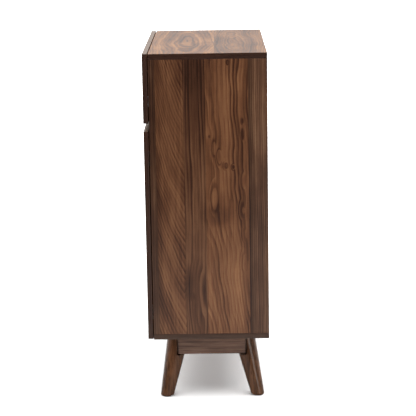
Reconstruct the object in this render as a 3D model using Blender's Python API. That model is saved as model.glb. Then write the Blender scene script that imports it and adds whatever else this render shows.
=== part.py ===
"""Shoe cabinet: two drawers over two doors with shelves, on a splayed four-leg base.

Metres. +Z is up, the fronts face -Y and X runs along the width. The origin is on the floor,
under the middle of the cabinet. Left and right are as seen from the front.

    blender --background --python part.py
"""
import math

import bmesh
import bpy
from mathutils import Vector

# ---------------------------------------------------------------- driving dimensions
# overall
WIDTH = 0.800
DEPTH = 0.400              # from the faces of the fronts to the back edge of the case
BODY_HEIGHT = 0.945        # the case with its top and bottom boards
LEG_HEIGHT = 0.205         # floor to the underside of the case
SEAM = 0.0003              # play left between pieces that meet

# boards of the case
CAP_THICK = 0.018          # top and bottom boards
SIDE_THICK = 0.016
INNER_THICK = 0.016        # partitions, drawer deck and shelves
BACK_THICK = 0.005
BACK_INSET = 0.006         # back panel, in from the back edge of the case
BACK_GROOVE = 0.006        # how deep the back panel sits in its grooves

# fronts
FRONT_THICK = 0.016
BUFFER_GAP = 0.003         # between a closed front and the case
SIDE_REVEAL = 0.0005       # front edge to the outer face of the side board
MIDDLE_GAP = 0.003         # between two fronts side by side
DOOR_FOOT_REVEAL = 0.0025  # door edge above the underside of the case
DRAWER_FRONT_HEIGHT = 0.224
FINGER_GAP = 0.0255        # open strip between the drawer fronts and the doors
DECK_SETBACK = 0.022       # room behind the finger gap

# shelves
SHELVES = 3
SHELF_PLAY = 0.0006
SHELF_SETBACK = 0.020
SHELF_BACK_PLAY = 0.002

# drawers and runners
DRAWER_BOARD = 0.012
RUNNER_STEP = 0.050        # runners and drawer sides come in lengths of this step
DRAWER_REAR_PLAY = 0.010   # least room behind a drawer
DRAWER_SHORT = 0.064       # drawer sides are this much lower than the fronts
DRAWER_LIFT = 0.014        # drawer side above the deck
DRAWER_BASE_THICK = 0.005
DRAWER_BASE_LIFT = 0.010   # base panel above the lower edge of the drawer side
DRAWER_GROOVE = 0.006
DRAWER_TRAVEL = 0.250
RUNNER_SPACE = 0.0127      # room for one runner between drawer and case
RUNNER_HEIGHT = 0.035
RUNNER_LIFT = 0.060        # runner centre above the lower edge of the drawer side
RUNNER_PLATE = 0.0012
RUNNER_LIP = 0.0088        # how far the case member's flanges reach out from the wall
INNER_MEMBER_OUT = 0.0040  # tips of the drawer member's flanges, from the wall
BALL_RADIUS = 0.00195
BALL_PLAY = 0.0001
BALL_OUT = 0.0065          # ball centres from the wall
BALLS = 5
BALL_PITCH = 0.018
CAGE_LENGTH = 0.095
CAGE_START = 0.127         # closed cage, behind the front end of the runner
CAGE_WALL = 0.0008
CAGE_BACK = 0.0019         # cage's strip and the tips of its arms, from the wall
CAGE_TIP = 0.0090

# concealed hinges; "in" runs from the hinge edge of the door, "back" from its inner face
HINGE_FROM_END = 0.090
PIVOT_IN = 0.0069
PIVOT_DEEP = 0.0080
CUP_RADIUS = 0.0175
CUP_EDGE = 0.0030          # door edge to the rim of the cup
CUP_WALL = 0.0008
CUP_DEPTH = 0.0113
CUP_HOLE_PLAY = 0.0007     # under the cup
CUP_RIM = 0.0007           # rim above the door's inner face, just under the flange's face
FLANGE_THICK = 0.0010
FLANGE_START = 0.0030
FLANGE_LENGTH = 0.0160
FLANGE_EAR = 0.0245
PIN_RADIUS = 0.0012
KNUCKLE_RADIUS = 0.0020
KNUCKLE_BORE = 0.0014
KNUCKLE_PLAY = 0.0002      # knuckle to the wall of the cup
STRAP_DEEP = 0.0019        # strap faces below the pin's centre
STRAP_HIGH = 0.0005
STRAP_ROOT = 0.0006        # where the strap starts, beside the pin's centre
STRAP_STEP = 0.0002        # strap inside the blade's faces
STRAP_RISE = 0.0040        # strap's top, inside the blade
BLADE_START = 0.0030
ARM_STANDOFF = 0.0030      # arm plate off the side board, as seen from the hinge edge
ARM_THICK = 0.0020
ARM_HALF = 0.0080
ARM_REACH = 0.0580
PLATE_FRONT = 0.0260
PLATE_HALF = 0.0100
WING_FRONT = 0.0350
WING_BACK = 0.0470
WING_HALF = 0.0240
DOOR_SWING = 105.0         # degrees

# base
LEG_INSET_TOP = 0.0809     # leg axis in from the case edges, at the case
LEG_INSET_FOOT = 0.0384    # and at the floor
REAR_LEAN = 0.0035         # extra lean of the rear legs, along the depth
LEG_RADIUS_TOP = 0.0377
LEG_RADIUS_FOOT = 0.0222
LEG_SEGMENTS = 40
FOOT_CHAMFER = 0.0015
RAIL_THICK = 0.018
RAIL_HEIGHT = 0.0640
RAIL_INSET = 0.0430        # outer rail face in from the case edge
RAIL_END_INSET = 0.0780    # rail end in from the case edge
REBATE_END_PLAY = 0.0040
REBATE_FOOT_PLAY = 0.0030
REBATE_ROUND = 0.0050
GLIDE_THICK = 0.003
GLIDE_RADIUS = 0.016

# ---------------------------------------------------------------- places that follow
SIDES = (("left", -1), ("right", 1))
ENDS = (("front", -1), ("rear", 1))
HALF = WIDTH / 2
SIDE_IN = HALF - SIDE_THICK
FRONT_FACE = -DEPTH / 2
FRONT_BACK = FRONT_FACE + FRONT_THICK
CASE_FRONT = FRONT_BACK + BUFFER_GAP
CASE_BACK = DEPTH / 2
CASE_MIDDLE = (CASE_FRONT + CASE_BACK) / 2
CASE_HALF_DEPTH = (CASE_BACK - CASE_FRONT) / 2
BACK_FACE = CASE_BACK - BACK_INSET - BACK_THICK
CASE_LOW = LEG_HEIGHT
CASE_TOP = LEG_HEIGHT + BODY_HEIGHT
FLOOR_IN = CASE_LOW + CAP_THICK
CEILING_IN = CASE_TOP - CAP_THICK
DRAWER_FRONT_LOW = CASE_TOP - DRAWER_FRONT_HEIGHT
DOOR_TOP = DRAWER_FRONT_LOW - FINGER_GAP
DOOR_LOW = CASE_LOW + DOOR_FOOT_REVEAL
DECK_MIDDLE = (DOOR_TOP + DRAWER_FRONT_LOW) / 2
DECK_LOW = DECK_MIDDLE - INNER_THICK / 2
DECK_TOP = DECK_MIDDLE + INNER_THICK / 2
FRONT_OUT = HALF - SIDE_REVEAL
FRONT_IN = MIDDLE_GAP / 2
PARTITION_HALF = INNER_THICK / 2
DRAWER_HEIGHT = DRAWER_FRONT_HEIGHT - DRAWER_SHORT
DRAWER_LENGTH = RUNNER_STEP * math.floor((BACK_FACE - DRAWER_REAR_PLAY - FRONT_BACK) / RUNNER_STEP)
BALL_ROW = RUNNER_HEIGHT / 2 - RUNNER_PLATE - BALL_PLAY - BALL_RADIUS
INNER_MEMBER_HEIGHT = 2 * (BALL_ROW - BALL_RADIUS - BALL_PLAY)
INNER_MEMBER_LIP = RUNNER_SPACE - SEAM - INNER_MEMBER_OUT
CUP_CENTRE_IN = CUP_EDGE + CUP_RADIUS
CUP_HOLE_DEPTH = CUP_DEPTH + CUP_HOLE_PLAY
ARM_START = SIDE_THICK + ARM_STANDOFF
ARM_END = ARM_START + ARM_THICK


def chord_half(radius, inward):
    """Half the length of a chord of the cup's circle, at a distance in from the door's edge."""
    return math.sqrt(radius ** 2 - (CUP_CENTRE_IN - inward) ** 2)


PIN_HALF = chord_half(CUP_RADIUS, PIVOT_IN - PIN_RADIUS) - 0.0001
KNUCKLE_HALF = (
    chord_half(CUP_RADIUS - CUP_WALL, PIVOT_IN - KNUCKLE_RADIUS - KNUCKLE_PLAY) - KNUCKLE_PLAY
)


# ---------------------------------------------------------------- helpers
def clear_scene():
    """Start from an empty scene."""
    for obj in list(bpy.data.objects):
        bpy.data.objects.remove(obj, do_unlink=True)


def make_material(name, colour, roughness, metallic=0.0):
    """One Principled material with a base colour, roughness and metallic value."""
    material = bpy.data.materials.new(name)
    material.use_nodes = True
    shader = material.node_tree.nodes["Principled BSDF"]
    shader.inputs["Base Color"].default_value = (*colour, 1.0)
    shader.inputs["Roughness"].default_value = roughness
    shader.inputs["Metallic"].default_value = metallic
    material.diffuse_color = (*colour, 1.0)
    return material


def finish_mesh(name, mesh_maker, material, parent=None, smooth=False):
    """Turn a bmesh into a named object; its points are relative to the parent empty."""
    bmesh.ops.recalc_face_normals(mesh_maker, faces=mesh_maker.faces[:])
    mesh = bpy.data.meshes.new(name)
    mesh_maker.to_mesh(mesh)
    mesh_maker.free()
    if smooth:
        mesh.shade_smooth()
        mesh.set_sharp_from_angle(angle=math.radians(35))
    if material is not None:
        mesh.materials.append(material)
    obj = bpy.data.objects.new(name, mesh)
    bpy.context.scene.collection.objects.link(obj)
    if parent is not None:
        shift = parent.location.copy()
        for vertex in mesh.vertices:
            vertex.co -= shift
        obj.parent = parent
    return obj


def box_points(low, high):
    """Eight corners of a box, from its low and high corners in any order."""
    xs = sorted((low[0], high[0]))
    ys = sorted((low[1], high[1]))
    zs = sorted((low[2], high[2]))
    return [Vector((x, y, z)) for z in zs for y in ys for x in xs]


def board(name, low, high, material, parent=None, arris=0.0):
    """A flat board between two corners, its edges eased by arris."""
    maker = bmesh.new()
    points = [maker.verts.new(p) for p in box_points(low, high)]
    for face in ((0, 1, 3, 2), (4, 5, 7, 6), (0, 1, 5, 4), (2, 3, 7, 6), (0, 2, 6, 4), (1, 3, 7, 5)):
        maker.faces.new([points[i] for i in face])
    if arris > 0:
        bmesh.ops.bevel(maker, geom=maker.edges[:], offset=arris, segments=1, affect="EDGES")
    return finish_mesh(name, maker, material, parent)


def prism(name, outline, axis, start, end, material, parent=None, smooth=False):
    """Extrude an outline along X, Y or Z. The outline gives the other two coordinates in order."""
    maker = bmesh.new()
    rings = []
    for level in (start, end):
        ring = []
        for a, b in outline:
            point = {"X": (level, a, b), "Y": (a, level, b), "Z": (a, b, level)}[axis]
            ring.append(maker.verts.new(point))
        rings.append(ring)
    count = len(outline)
    maker.faces.new(rings[0])
    maker.faces.new(rings[1])
    for i in range(count):
        j = (i + 1) % count
        maker.faces.new((rings[0][i], rings[0][j], rings[1][j], rings[1][i]))
    return finish_mesh(name, maker, material, parent, smooth)


def circle(centre, radius, segments):
    """Points of a regular outline round a centre."""
    turn = 2 * math.pi / segments
    return [
        (centre[0] + radius * math.cos(turn * i), centre[1] + radius * math.sin(turn * i))
        for i in range(segments)
    ]


def as_helper(obj):
    """Keep a cutting or joining shape out of the model itself."""
    obj.hide_render = True
    obj.display_type = "WIRE"
    return obj


def cut(target, helper):
    """Take the helper's shape away from the target."""
    modifier = target.modifiers.new("cut_" + helper.name, "BOOLEAN")
    modifier.operation = "DIFFERENCE"
    modifier.object = as_helper(helper)


def fuse(target, helper):
    """Add the helper's shape to the target as one body."""
    modifier = target.modifiers.new("fuse_" + helper.name, "BOOLEAN")
    modifier.operation = "UNION"
    modifier.object = as_helper(helper)


def joint_empty(name, place):
    """An empty on a joint's axis, which carries the pieces that move."""
    empty = bpy.data.objects.new(name, None)
    empty.location = place
    empty.empty_display_size = 0.03
    bpy.context.scene.collection.objects.link(empty)
    return empty


# ---------------------------------------------------------------- case
def build_case(wood, lining):
    """Top, bottom, sides, partitions, drawer deck, back panel and shelves."""
    rear = BACK_FACE - SEAM
    bottom = board("bottom_panel", (-HALF, CASE_FRONT, CASE_LOW), (HALF, CASE_BACK, FLOOR_IN), wood)
    top = board("top_panel", (-HALF, CASE_FRONT, CEILING_IN), (HALF, CASE_BACK, CASE_TOP), wood)

    groove_front = BACK_FACE - SEAM
    groove_back = BACK_FACE + BACK_THICK + SEAM
    groove_end = SIDE_IN + BACK_GROOVE
    for panel, face, depth in ((bottom, FLOOR_IN, -BACK_GROOVE), (top, CEILING_IN, BACK_GROOVE)):
        low = (-groove_end, groove_front, face - depth)
        high = (groove_end, groove_back, face + depth)
        cut(panel, board(panel.name + "_groove", low, high, None))

    for side, sign in SIDES:
        low = (sign * SIDE_IN, CASE_FRONT, FLOOR_IN + SEAM)
        high = (sign * HALF, CASE_BACK, CEILING_IN - SEAM)
        panel = board(side + "_side_panel", low, high, wood)
        low = (sign * (SIDE_IN - BACK_GROOVE), groove_front, CASE_LOW)
        high = (sign * groove_end, groove_back, CASE_TOP)
        cut(panel, board(side + "_side_groove", low, high, None))

    back_half = groove_end - SEAM
    low = (-back_half, BACK_FACE, FLOOR_IN - BACK_GROOVE + SEAM)
    high = (back_half, BACK_FACE + BACK_THICK, CEILING_IN + BACK_GROOVE - SEAM)
    board("back_panel", low, high, lining)

    low = (-PARTITION_HALF, CASE_FRONT, FLOOR_IN + SEAM)
    board("centre_partition", low, (PARTITION_HALF, rear, DECK_LOW - SEAM), wood)
    low = (-(SIDE_IN - SEAM), CASE_FRONT + DECK_SETBACK, DECK_LOW)
    board("drawer_deck", low, (SIDE_IN - SEAM, rear, DECK_TOP), wood)
    low = (-PARTITION_HALF, CASE_FRONT, DECK_TOP + SEAM)
    board("drawer_partition", low, (PARTITION_HALF, rear, CEILING_IN - SEAM), wood)

    tier = (DECK_LOW - FLOOR_IN - SHELVES * INNER_THICK) / (SHELVES + 1)
    for side, sign in SIDES:
        for number in range(SHELVES):
            level = FLOOR_IN + (number + 1) * tier + number * INNER_THICK
            low = (sign * (PARTITION_HALF + SHELF_PLAY), CASE_FRONT + SHELF_SETBACK, level)
            high = (sign * (SIDE_IN - SHELF_PLAY), BACK_FACE - SHELF_BACK_PLAY, level + INNER_THICK)
            board(f"{side}_shelf_{number + 1}", low, high, wood)


# ---------------------------------------------------------------- base
def leg_axis(sign_x, sign_y, height):
    """Where the leg's axis is at a height above the floor."""
    inset = LEG_INSET_FOOT + (LEG_INSET_TOP - LEG_INSET_FOOT) * height / LEG_HEIGHT
    lean = REAR_LEAN * height / LEG_HEIGHT if sign_y > 0 else 0.0
    return (sign_x * (HALF - inset), CASE_MIDDLE + sign_y * (CASE_HALF_DEPTH - inset - lean))


def leg_radius(height):
    """The leg's radius at a height above the floor."""
    return LEG_RADIUS_FOOT + (LEG_RADIUS_TOP - LEG_RADIUS_FOOT) * height / LEG_HEIGHT


def rebate_outline(end, direction, foot):
    """The rail's seat in a leg, seen along the rail's thickness, with its inner corner rounded."""
    far = end + direction * 0.2
    ceiling = LEG_HEIGHT + 0.02
    points = [(far, ceiling), (end, ceiling)]
    centre = (end + direction * REBATE_ROUND, foot + REBATE_ROUND)
    for step in range(5):
        angle = math.pi / 2 * step / 4
        points.append((
            centre[0] - direction * REBATE_ROUND * math.cos(angle),
            centre[1] - REBATE_ROUND * math.sin(angle),
        ))
    points.append((far, foot))
    return points


def build_leg(name, sign_x, sign_y, wood):
    """A round tapered leg, splayed both ways, with a seat for the end of each rail."""
    heights = (GLIDE_THICK + SEAM, GLIDE_THICK + SEAM + FOOT_CHAMFER, LEG_HEIGHT - SEAM)
    maker = bmesh.new()
    rings = []
    for height in heights:
        radius = leg_radius(height)
        if height == heights[0]:
            radius -= FOOT_CHAMFER
        outline = circle(leg_axis(sign_x, sign_y, height), radius, LEG_SEGMENTS)
        rings.append([maker.verts.new((x, y, height)) for x, y in outline])
    for lower, upper in zip(rings, rings[1:]):
        for i in range(LEG_SEGMENTS):
            j = (i + 1) % LEG_SEGMENTS
            maker.faces.new((lower[i], lower[j], upper[j], upper[i]))
    maker.faces.new(rings[0])
    maker.faces.new(rings[-1])
    leg = finish_mesh(name, maker, wood, smooth=True)

    foot = LEG_HEIGHT - SEAM - RAIL_HEIGHT - REBATE_FOOT_PLAY
    rail_back = RAIL_INSET + RAIL_THICK + SEAM
    # seat of the side rail, which runs along Y
    end = CASE_MIDDLE + sign_y * (CASE_HALF_DEPTH - RAIL_END_INSET + REBATE_END_PLAY)
    outline = rebate_outline(end, -sign_y, foot)
    seat = prism(name + "_side_seat", outline, "X", sign_x * (HALF - rail_back), sign_x * (HALF + 0.02), None)
    cut(leg, seat)
    # seat of the front or rear rail, which runs along X
    end = sign_x * (HALF - RAIL_END_INSET + REBATE_END_PLAY)
    outline = rebate_outline(end, -sign_x, foot)
    near = CASE_MIDDLE + sign_y * (CASE_HALF_DEPTH - rail_back)
    far = CASE_MIDDLE + sign_y * (CASE_HALF_DEPTH + 0.02)
    cut(leg, prism(name + "_long_seat", outline, "Y", near, far, None))
    return leg


def build_base(wood, rubber):
    """Four legs, their glides and the four rails between them."""
    high = LEG_HEIGHT - SEAM
    low = high - RAIL_HEIGHT
    reach_x = HALF - RAIL_END_INSET
    reach_y = CASE_HALF_DEPTH - RAIL_END_INSET
    for side, sign_x in SIDES:
        outer = sign_x * (HALF - RAIL_INSET)
        inner = sign_x * (HALF - RAIL_INSET - RAIL_THICK)
        board(side + "_rail", (inner, CASE_MIDDLE - reach_y, low), (outer, CASE_MIDDLE + reach_y, high), wood)
    for end, sign_y in ENDS:
        outer = CASE_MIDDLE + sign_y * (CASE_HALF_DEPTH - RAIL_INSET)
        inner = CASE_MIDDLE + sign_y * (CASE_HALF_DEPTH - RAIL_INSET - RAIL_THICK)
        board(end + "_rail", (-reach_x, inner, low), (reach_x, outer, high), wood)
        for side, sign_x in SIDES:
            build_leg(f"{end}_{side}_leg", sign_x, sign_y, wood)
            outline = circle(leg_axis(sign_x, sign_y, 0), GLIDE_RADIUS, 24)
            prism(f"{end}_{side}_glide", outline, "Z", 0, GLIDE_THICK, rubber, smooth=True)


# ---------------------------------------------------------------- drawers
def runner_outline(wall, outward, lip, half_height):
    """A C channel seen end on: wall is the x of the face it is fixed to, outward where its flanges point."""
    web = wall + outward * SEAM
    back = web + outward * RUNNER_PLATE
    tip = web + outward * lip
    inner = half_height - RUNNER_PLATE
    return [
        (web, -half_height), (tip, -half_height), (tip, -inner), (back, -inner),
        (back, inner), (tip, inner), (tip, half_height), (web, half_height),
    ]


def raised(outline, height):
    """Move an x, z outline up."""
    return [(x, z + height) for x, z in outline]


def build_ball_cage(name, wall, outward, height, front, steel, parent):
    """A thin U-shaped strip with a row of balls in each arm."""
    back = wall + outward * CAGE_BACK
    arm_in = BALL_ROW - CAGE_WALL / 2
    arm_out = BALL_ROW + CAGE_WALL / 2
    tip = wall + outward * CAGE_TIP
    web = back + outward * CAGE_WALL
    outline = [
        (back, -arm_out), (tip, -arm_out), (tip, -arm_in), (web, -arm_in),
        (web, arm_in), (tip, arm_in), (tip, arm_out), (back, arm_out),
    ]
    start = front + CAGE_START
    cage = prism(name, raised(outline, height), "Y", start, start + CAGE_LENGTH, steel, parent)
    maker = bmesh.new()
    first = start + (CAGE_LENGTH - (BALLS - 1) * BALL_PITCH) / 2
    for row in (-1, 1):
        for number in range(BALLS):
            made = bmesh.ops.create_uvsphere(maker, u_segments=8, v_segments=4, radius=BALL_RADIUS)
            place = Vector((wall + outward * BALL_OUT, first + number * BALL_PITCH, height + row * BALL_ROW))
            bmesh.ops.translate(maker, verts=made["verts"], vec=place)
    fuse(cage, finish_mesh(name + "_balls", maker, None, parent))


def build_drawer(side, sign, wood, board_wood, steel):
    """One drawer: front, two sides, back, base, two inner runner members and two ball cages."""
    low = DECK_TOP + DRAWER_LIFT
    high = low + DRAWER_HEIGHT
    front = FRONT_BACK + SEAM
    rear = front + DRAWER_LENGTH
    slide = joint_empty(side + "_drawer_slide", (sign * (SIDE_IN + PARTITION_HALF) / 2, FRONT_FACE, low))
    cage_slide = joint_empty(side + "_cage_slide", (sign * (SIDE_IN + PARTITION_HALF) / 2, FRONT_BACK, low))

    face = board(
        side + "_drawer_front", (sign * FRONT_IN, FRONT_FACE, DRAWER_FRONT_LOW),
        (sign * FRONT_OUT, FRONT_BACK, CASE_TOP), wood, slide,
    )
    outer = SIDE_IN - RUNNER_SPACE
    inner = PARTITION_HALF + RUNNER_SPACE
    base_low = low + DRAWER_BASE_LIFT
    base_high = base_low + DRAWER_BASE_THICK
    base_end = {"outer": outer - DRAWER_BOARD + DRAWER_GROOVE, "inner": inner + DRAWER_BOARD - DRAWER_GROOVE}

    for place, wall, inward in (("outer", outer, -1), ("inner", inner, 1)):
        inside = wall + inward * DRAWER_BOARD
        cheek = board(
            f"{side}_drawer_{place}_side", (sign * wall, front, low), (sign * inside, rear, high),
            board_wood, slide,
        )
        groove = board(
            f"{side}_drawer_{place}_groove",
            (sign * base_end[place], front - 0.01, base_low - SEAM),
            (sign * (inside + inward * 0.01), rear + 0.01, base_high + SEAM), None, slide,
        )
        cut(cheek, groove)

    board(
        side + "_drawer_back",
        (sign * (outer - DRAWER_BOARD - SEAM), rear - DRAWER_BOARD, base_high + SEAM),
        (sign * (inner + DRAWER_BOARD + SEAM), rear, high), board_wood, slide,
    )
    base_front = FRONT_BACK - DRAWER_GROOVE
    board(
        side + "_drawer_base",
        (sign * (base_end["outer"] - SEAM), base_front + SEAM, base_low),
        (sign * (base_end["inner"] + SEAM), rear, base_high), board_wood, slide,
    )
    pocket = board(
        side + "_drawer_front_groove", (sign * base_end["outer"], base_front, base_low - SEAM),
        (sign * base_end["inner"], front + 0.01, base_high + SEAM), None, slide,
    )
    cut(face, pocket)

    # runners: the case member's back is on the wall, the inner member's on the drawer side
    height = low + RUNNER_LIFT
    for place, wall, outward in (("outer", SIDE_IN, -1), ("inner", PARTITION_HALF, 1)):
        outline = runner_outline(wall, outward, RUNNER_LIP, RUNNER_HEIGHT / 2)
        outline = raised([(sign * x, z) for x, z in outline], height)
        prism(f"{side}_{place}_case_runner", outline, "Y", front, front + DRAWER_LENGTH, steel)
        cheek_face = wall + outward * RUNNER_SPACE
        outline = runner_outline(cheek_face, -outward, INNER_MEMBER_LIP, INNER_MEMBER_HEIGHT / 2)
        outline = raised([(sign * x, z) for x, z in outline], height)
        prism(f"{side}_{place}_drawer_runner", outline, "Y", front, front + DRAWER_LENGTH, steel, slide)
        build_ball_cage(
            f"{side}_{place}_ball_cage", sign * wall, sign * outward, height, front, steel, cage_slide,
        )


# ---------------------------------------------------------------- doors and hinges
def hinge_heights():
    """Centre heights of a door's two hinges."""
    return (("lower", DOOR_LOW + HINGE_FROM_END), ("upper", DOOR_TOP - HINGE_FROM_END))


def build_hinge(side, sign, place, height, steel, pivot_empty):
    """A cup with its flange and pin in the door, and an arm with its mounting plate on the side."""
    def at(inward, back):
        return (sign * (FRONT_OUT - inward), FRONT_BACK + back)

    name = f"{side}_{place}_hinge"
    cup_centre = (at(CUP_CENTRE_IN, 0)[0], height)
    pivot = at(PIVOT_IN, -PIVOT_DEEP)

    cup = prism(
        name + "_cup", circle(cup_centre, CUP_RADIUS, 32), "Y", FRONT_BACK + CUP_RIM,
        FRONT_BACK - CUP_DEPTH, steel, pivot_empty, smooth=True,
    )
    near = at(FLANGE_START, SEAM)
    far = at(FLANGE_START + FLANGE_LENGTH, FLANGE_THICK)
    flange = board(
        name + "_flange", (near[0], near[1], height - FLANGE_EAR), (far[0], far[1], height + FLANGE_EAR),
        None, pivot_empty,
    )
    fuse(cup, flange)
    hollow = prism(
        name + "_hollow", circle(cup_centre, CUP_RADIUS - CUP_WALL, 32), "Y", FRONT_BACK + 0.01,
        FRONT_BACK - CUP_DEPTH + CUP_WALL, None, pivot_empty,
    )
    cut(cup, hollow)
    pin = prism(
        name + "_pin", circle(pivot, PIN_RADIUS, 16), "Z", height - PIN_HALF, height + PIN_HALF,
        None, pivot_empty,
    )
    fuse(cup, pin)

    arm = prism(
        name + "_arm", circle(pivot, KNUCKLE_RADIUS, 20), "Z", height - KNUCKLE_HALF,
        height + KNUCKLE_HALF, steel, smooth=True,
    )
    strap_low = -PIVOT_DEEP - STRAP_DEEP
    strap_high = -PIVOT_DEEP - STRAP_HIGH
    strap = [
        at(PIVOT_IN + STRAP_ROOT, strap_low), at(ARM_END - STRAP_STEP, strap_low),
        at(ARM_END - STRAP_STEP, STRAP_RISE), at(ARM_START + STRAP_STEP, STRAP_RISE),
        at(ARM_START + STRAP_STEP, strap_high), at(PIVOT_IN + STRAP_ROOT, strap_high),
    ]
    fuse(arm, prism(name + "_strap", strap, "Z", height - KNUCKLE_HALF, height + KNUCKLE_HALF, None))
    near = at(ARM_START, BLADE_START)
    far = at(ARM_END, ARM_REACH)
    blade = board(name + "_blade", (*near, height - ARM_HALF), (*far, height + ARM_HALF), None)
    fuse(arm, blade)
    wall_in = FRONT_OUT - SIDE_IN + SEAM
    near = at(wall_in, PLATE_FRONT)
    far = at(ARM_START + 0.001, ARM_REACH - 0.003)
    fuse(arm, board(name + "_block", (*near, height - PLATE_HALF), (*far, height + PLATE_HALF), None))
    near = at(wall_in + 0.0001, WING_FRONT)
    far = at(wall_in + 0.0025, WING_BACK)
    fuse(arm, board(name + "_wings", (*near, height - WING_HALF), (*far, height + WING_HALF), None))
    cut(arm, prism(name + "_bore", circle(pivot, KNUCKLE_BORE, 16), "Z", height - 0.02, height + 0.02, None))


def build_door(side, sign, wood, steel):
    """One door on two hinges, turning about their pins."""
    pivot = (sign * (FRONT_OUT - PIVOT_IN), FRONT_BACK - PIVOT_DEEP, DOOR_LOW)
    hinge = joint_empty(side + "_door_hinge", pivot)
    door = board(
        side + "_door", (sign * FRONT_IN, FRONT_FACE, DOOR_LOW), (sign * FRONT_OUT, FRONT_BACK, DOOR_TOP),
        wood, hinge,
    )
    for place, height in hinge_heights():
        centre = (sign * (FRONT_OUT - CUP_CENTRE_IN), height)
        hole = prism(
            f"{side}_{place}_cup_hole", circle(centre, CUP_RADIUS + SEAM, 32), "Y",
            FRONT_BACK - CUP_HOLE_DEPTH, FRONT_BACK + 0.01, None, hinge,
        )
        cut(door, hole)
        build_hinge(side, sign, place, height, steel, hinge)


def main():
    """Build the whole cabinet."""
    clear_scene()
    walnut = make_material("walnut_veneer", (0.110, 0.055, 0.035), 0.42)
    lining = make_material("back_lining", (0.060, 0.042, 0.034), 0.60)
    solid = make_material("stained_leg_wood", (0.085, 0.045, 0.028), 0.38)
    box_wood = make_material("drawer_board", (0.130, 0.072, 0.046), 0.50)
    steel = make_material("zinc_steel", (0.60, 0.61, 0.62), 0.32, 1.0)
    rubber = make_material("glide_plastic", (0.025, 0.023, 0.022), 0.65)
    build_case(walnut, lining)
    build_base(solid, rubber)
    for side, sign in SIDES:
        build_drawer(side, sign, walnut, box_wood, steel)
        build_door(side, sign, walnut, steel)


main()
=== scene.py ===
"""Looks of a shoe cabinet: two drawers over two doors, on a splayed four-leg base.

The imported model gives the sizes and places. This script adds finished boards, turned legs, runners
and hinges, their veneer, stain and metal, then a pale floor, soft light and a camera.
Metres, Z up, the fronts face -Y. Left and right are as seen from the front.
"""
from __future__ import annotations

import logging
import math
from dataclasses import dataclass
from enum import Enum, IntEnum
from functools import lru_cache
from typing import Sequence

import bmesh
import bpy
import numpy as np
from mathutils import Matrix, Vector


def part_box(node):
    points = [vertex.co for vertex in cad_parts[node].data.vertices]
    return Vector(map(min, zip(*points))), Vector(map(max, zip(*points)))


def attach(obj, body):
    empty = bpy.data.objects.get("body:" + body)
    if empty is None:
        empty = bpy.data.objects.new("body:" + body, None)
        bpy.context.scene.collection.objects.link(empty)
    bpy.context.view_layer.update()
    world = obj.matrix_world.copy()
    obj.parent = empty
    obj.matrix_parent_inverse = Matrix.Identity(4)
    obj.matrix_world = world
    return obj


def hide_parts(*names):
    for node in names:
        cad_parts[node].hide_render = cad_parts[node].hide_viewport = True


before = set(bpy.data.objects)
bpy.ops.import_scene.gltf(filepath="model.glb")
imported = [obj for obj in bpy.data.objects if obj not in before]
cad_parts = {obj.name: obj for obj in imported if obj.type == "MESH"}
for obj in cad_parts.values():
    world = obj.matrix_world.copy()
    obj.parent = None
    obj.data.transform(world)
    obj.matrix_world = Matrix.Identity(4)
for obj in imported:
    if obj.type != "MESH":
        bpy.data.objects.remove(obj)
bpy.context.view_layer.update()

LOG = logging.getLogger("shoe_cabinet")
Colour = tuple[float, float, float]
Point = tuple[float, float, float]
Socket = bpy.types.NodeSocket
Value = float | bpy.types.NodeSocket
Spot = tuple[Value, Value, Value]


class Axis(IntEnum):
    """The three directions of the cabinet."""

    WIDTH = 0
    DEPTH = 1
    HEIGHT = 2


class Placed(Enum):
    """A choice whose name is also a word in the node names."""

    @property
    def word(self) -> str:
        """The choice as it stands in node names."""
        return self.name.lower()


class Side(Placed):
    """The two halves of the cabinet, and which way each lies along X."""

    LEFT = -1
    RIGHT = 1


class End(Placed):
    """The front and the rear, and which way each lies along Y."""

    FRONT = -1
    REAR = 1


class Flank(Placed):
    """The two sides of a drawer."""

    OUTER = 0
    INNER = 1


class Member(Placed):
    """The two halves of a runner, by what each is screwed to."""

    CASE = 0
    DRAWER = 1


class Rank(Placed):
    """The two hinges of a door."""

    LOWER = 0
    UPPER = 1


class Slot(Enum):
    """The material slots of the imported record."""

    VENEER = "walnut_veneer"
    LINING = "back_lining"
    LEG = "leg_wood"
    GLIDE = "glide_plastic"
    DRAWER = "drawer_board"
    RUNNER = "runner_steel"
    CAGE = "cage_steel"
    HINGE = "hinge_steel"


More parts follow.
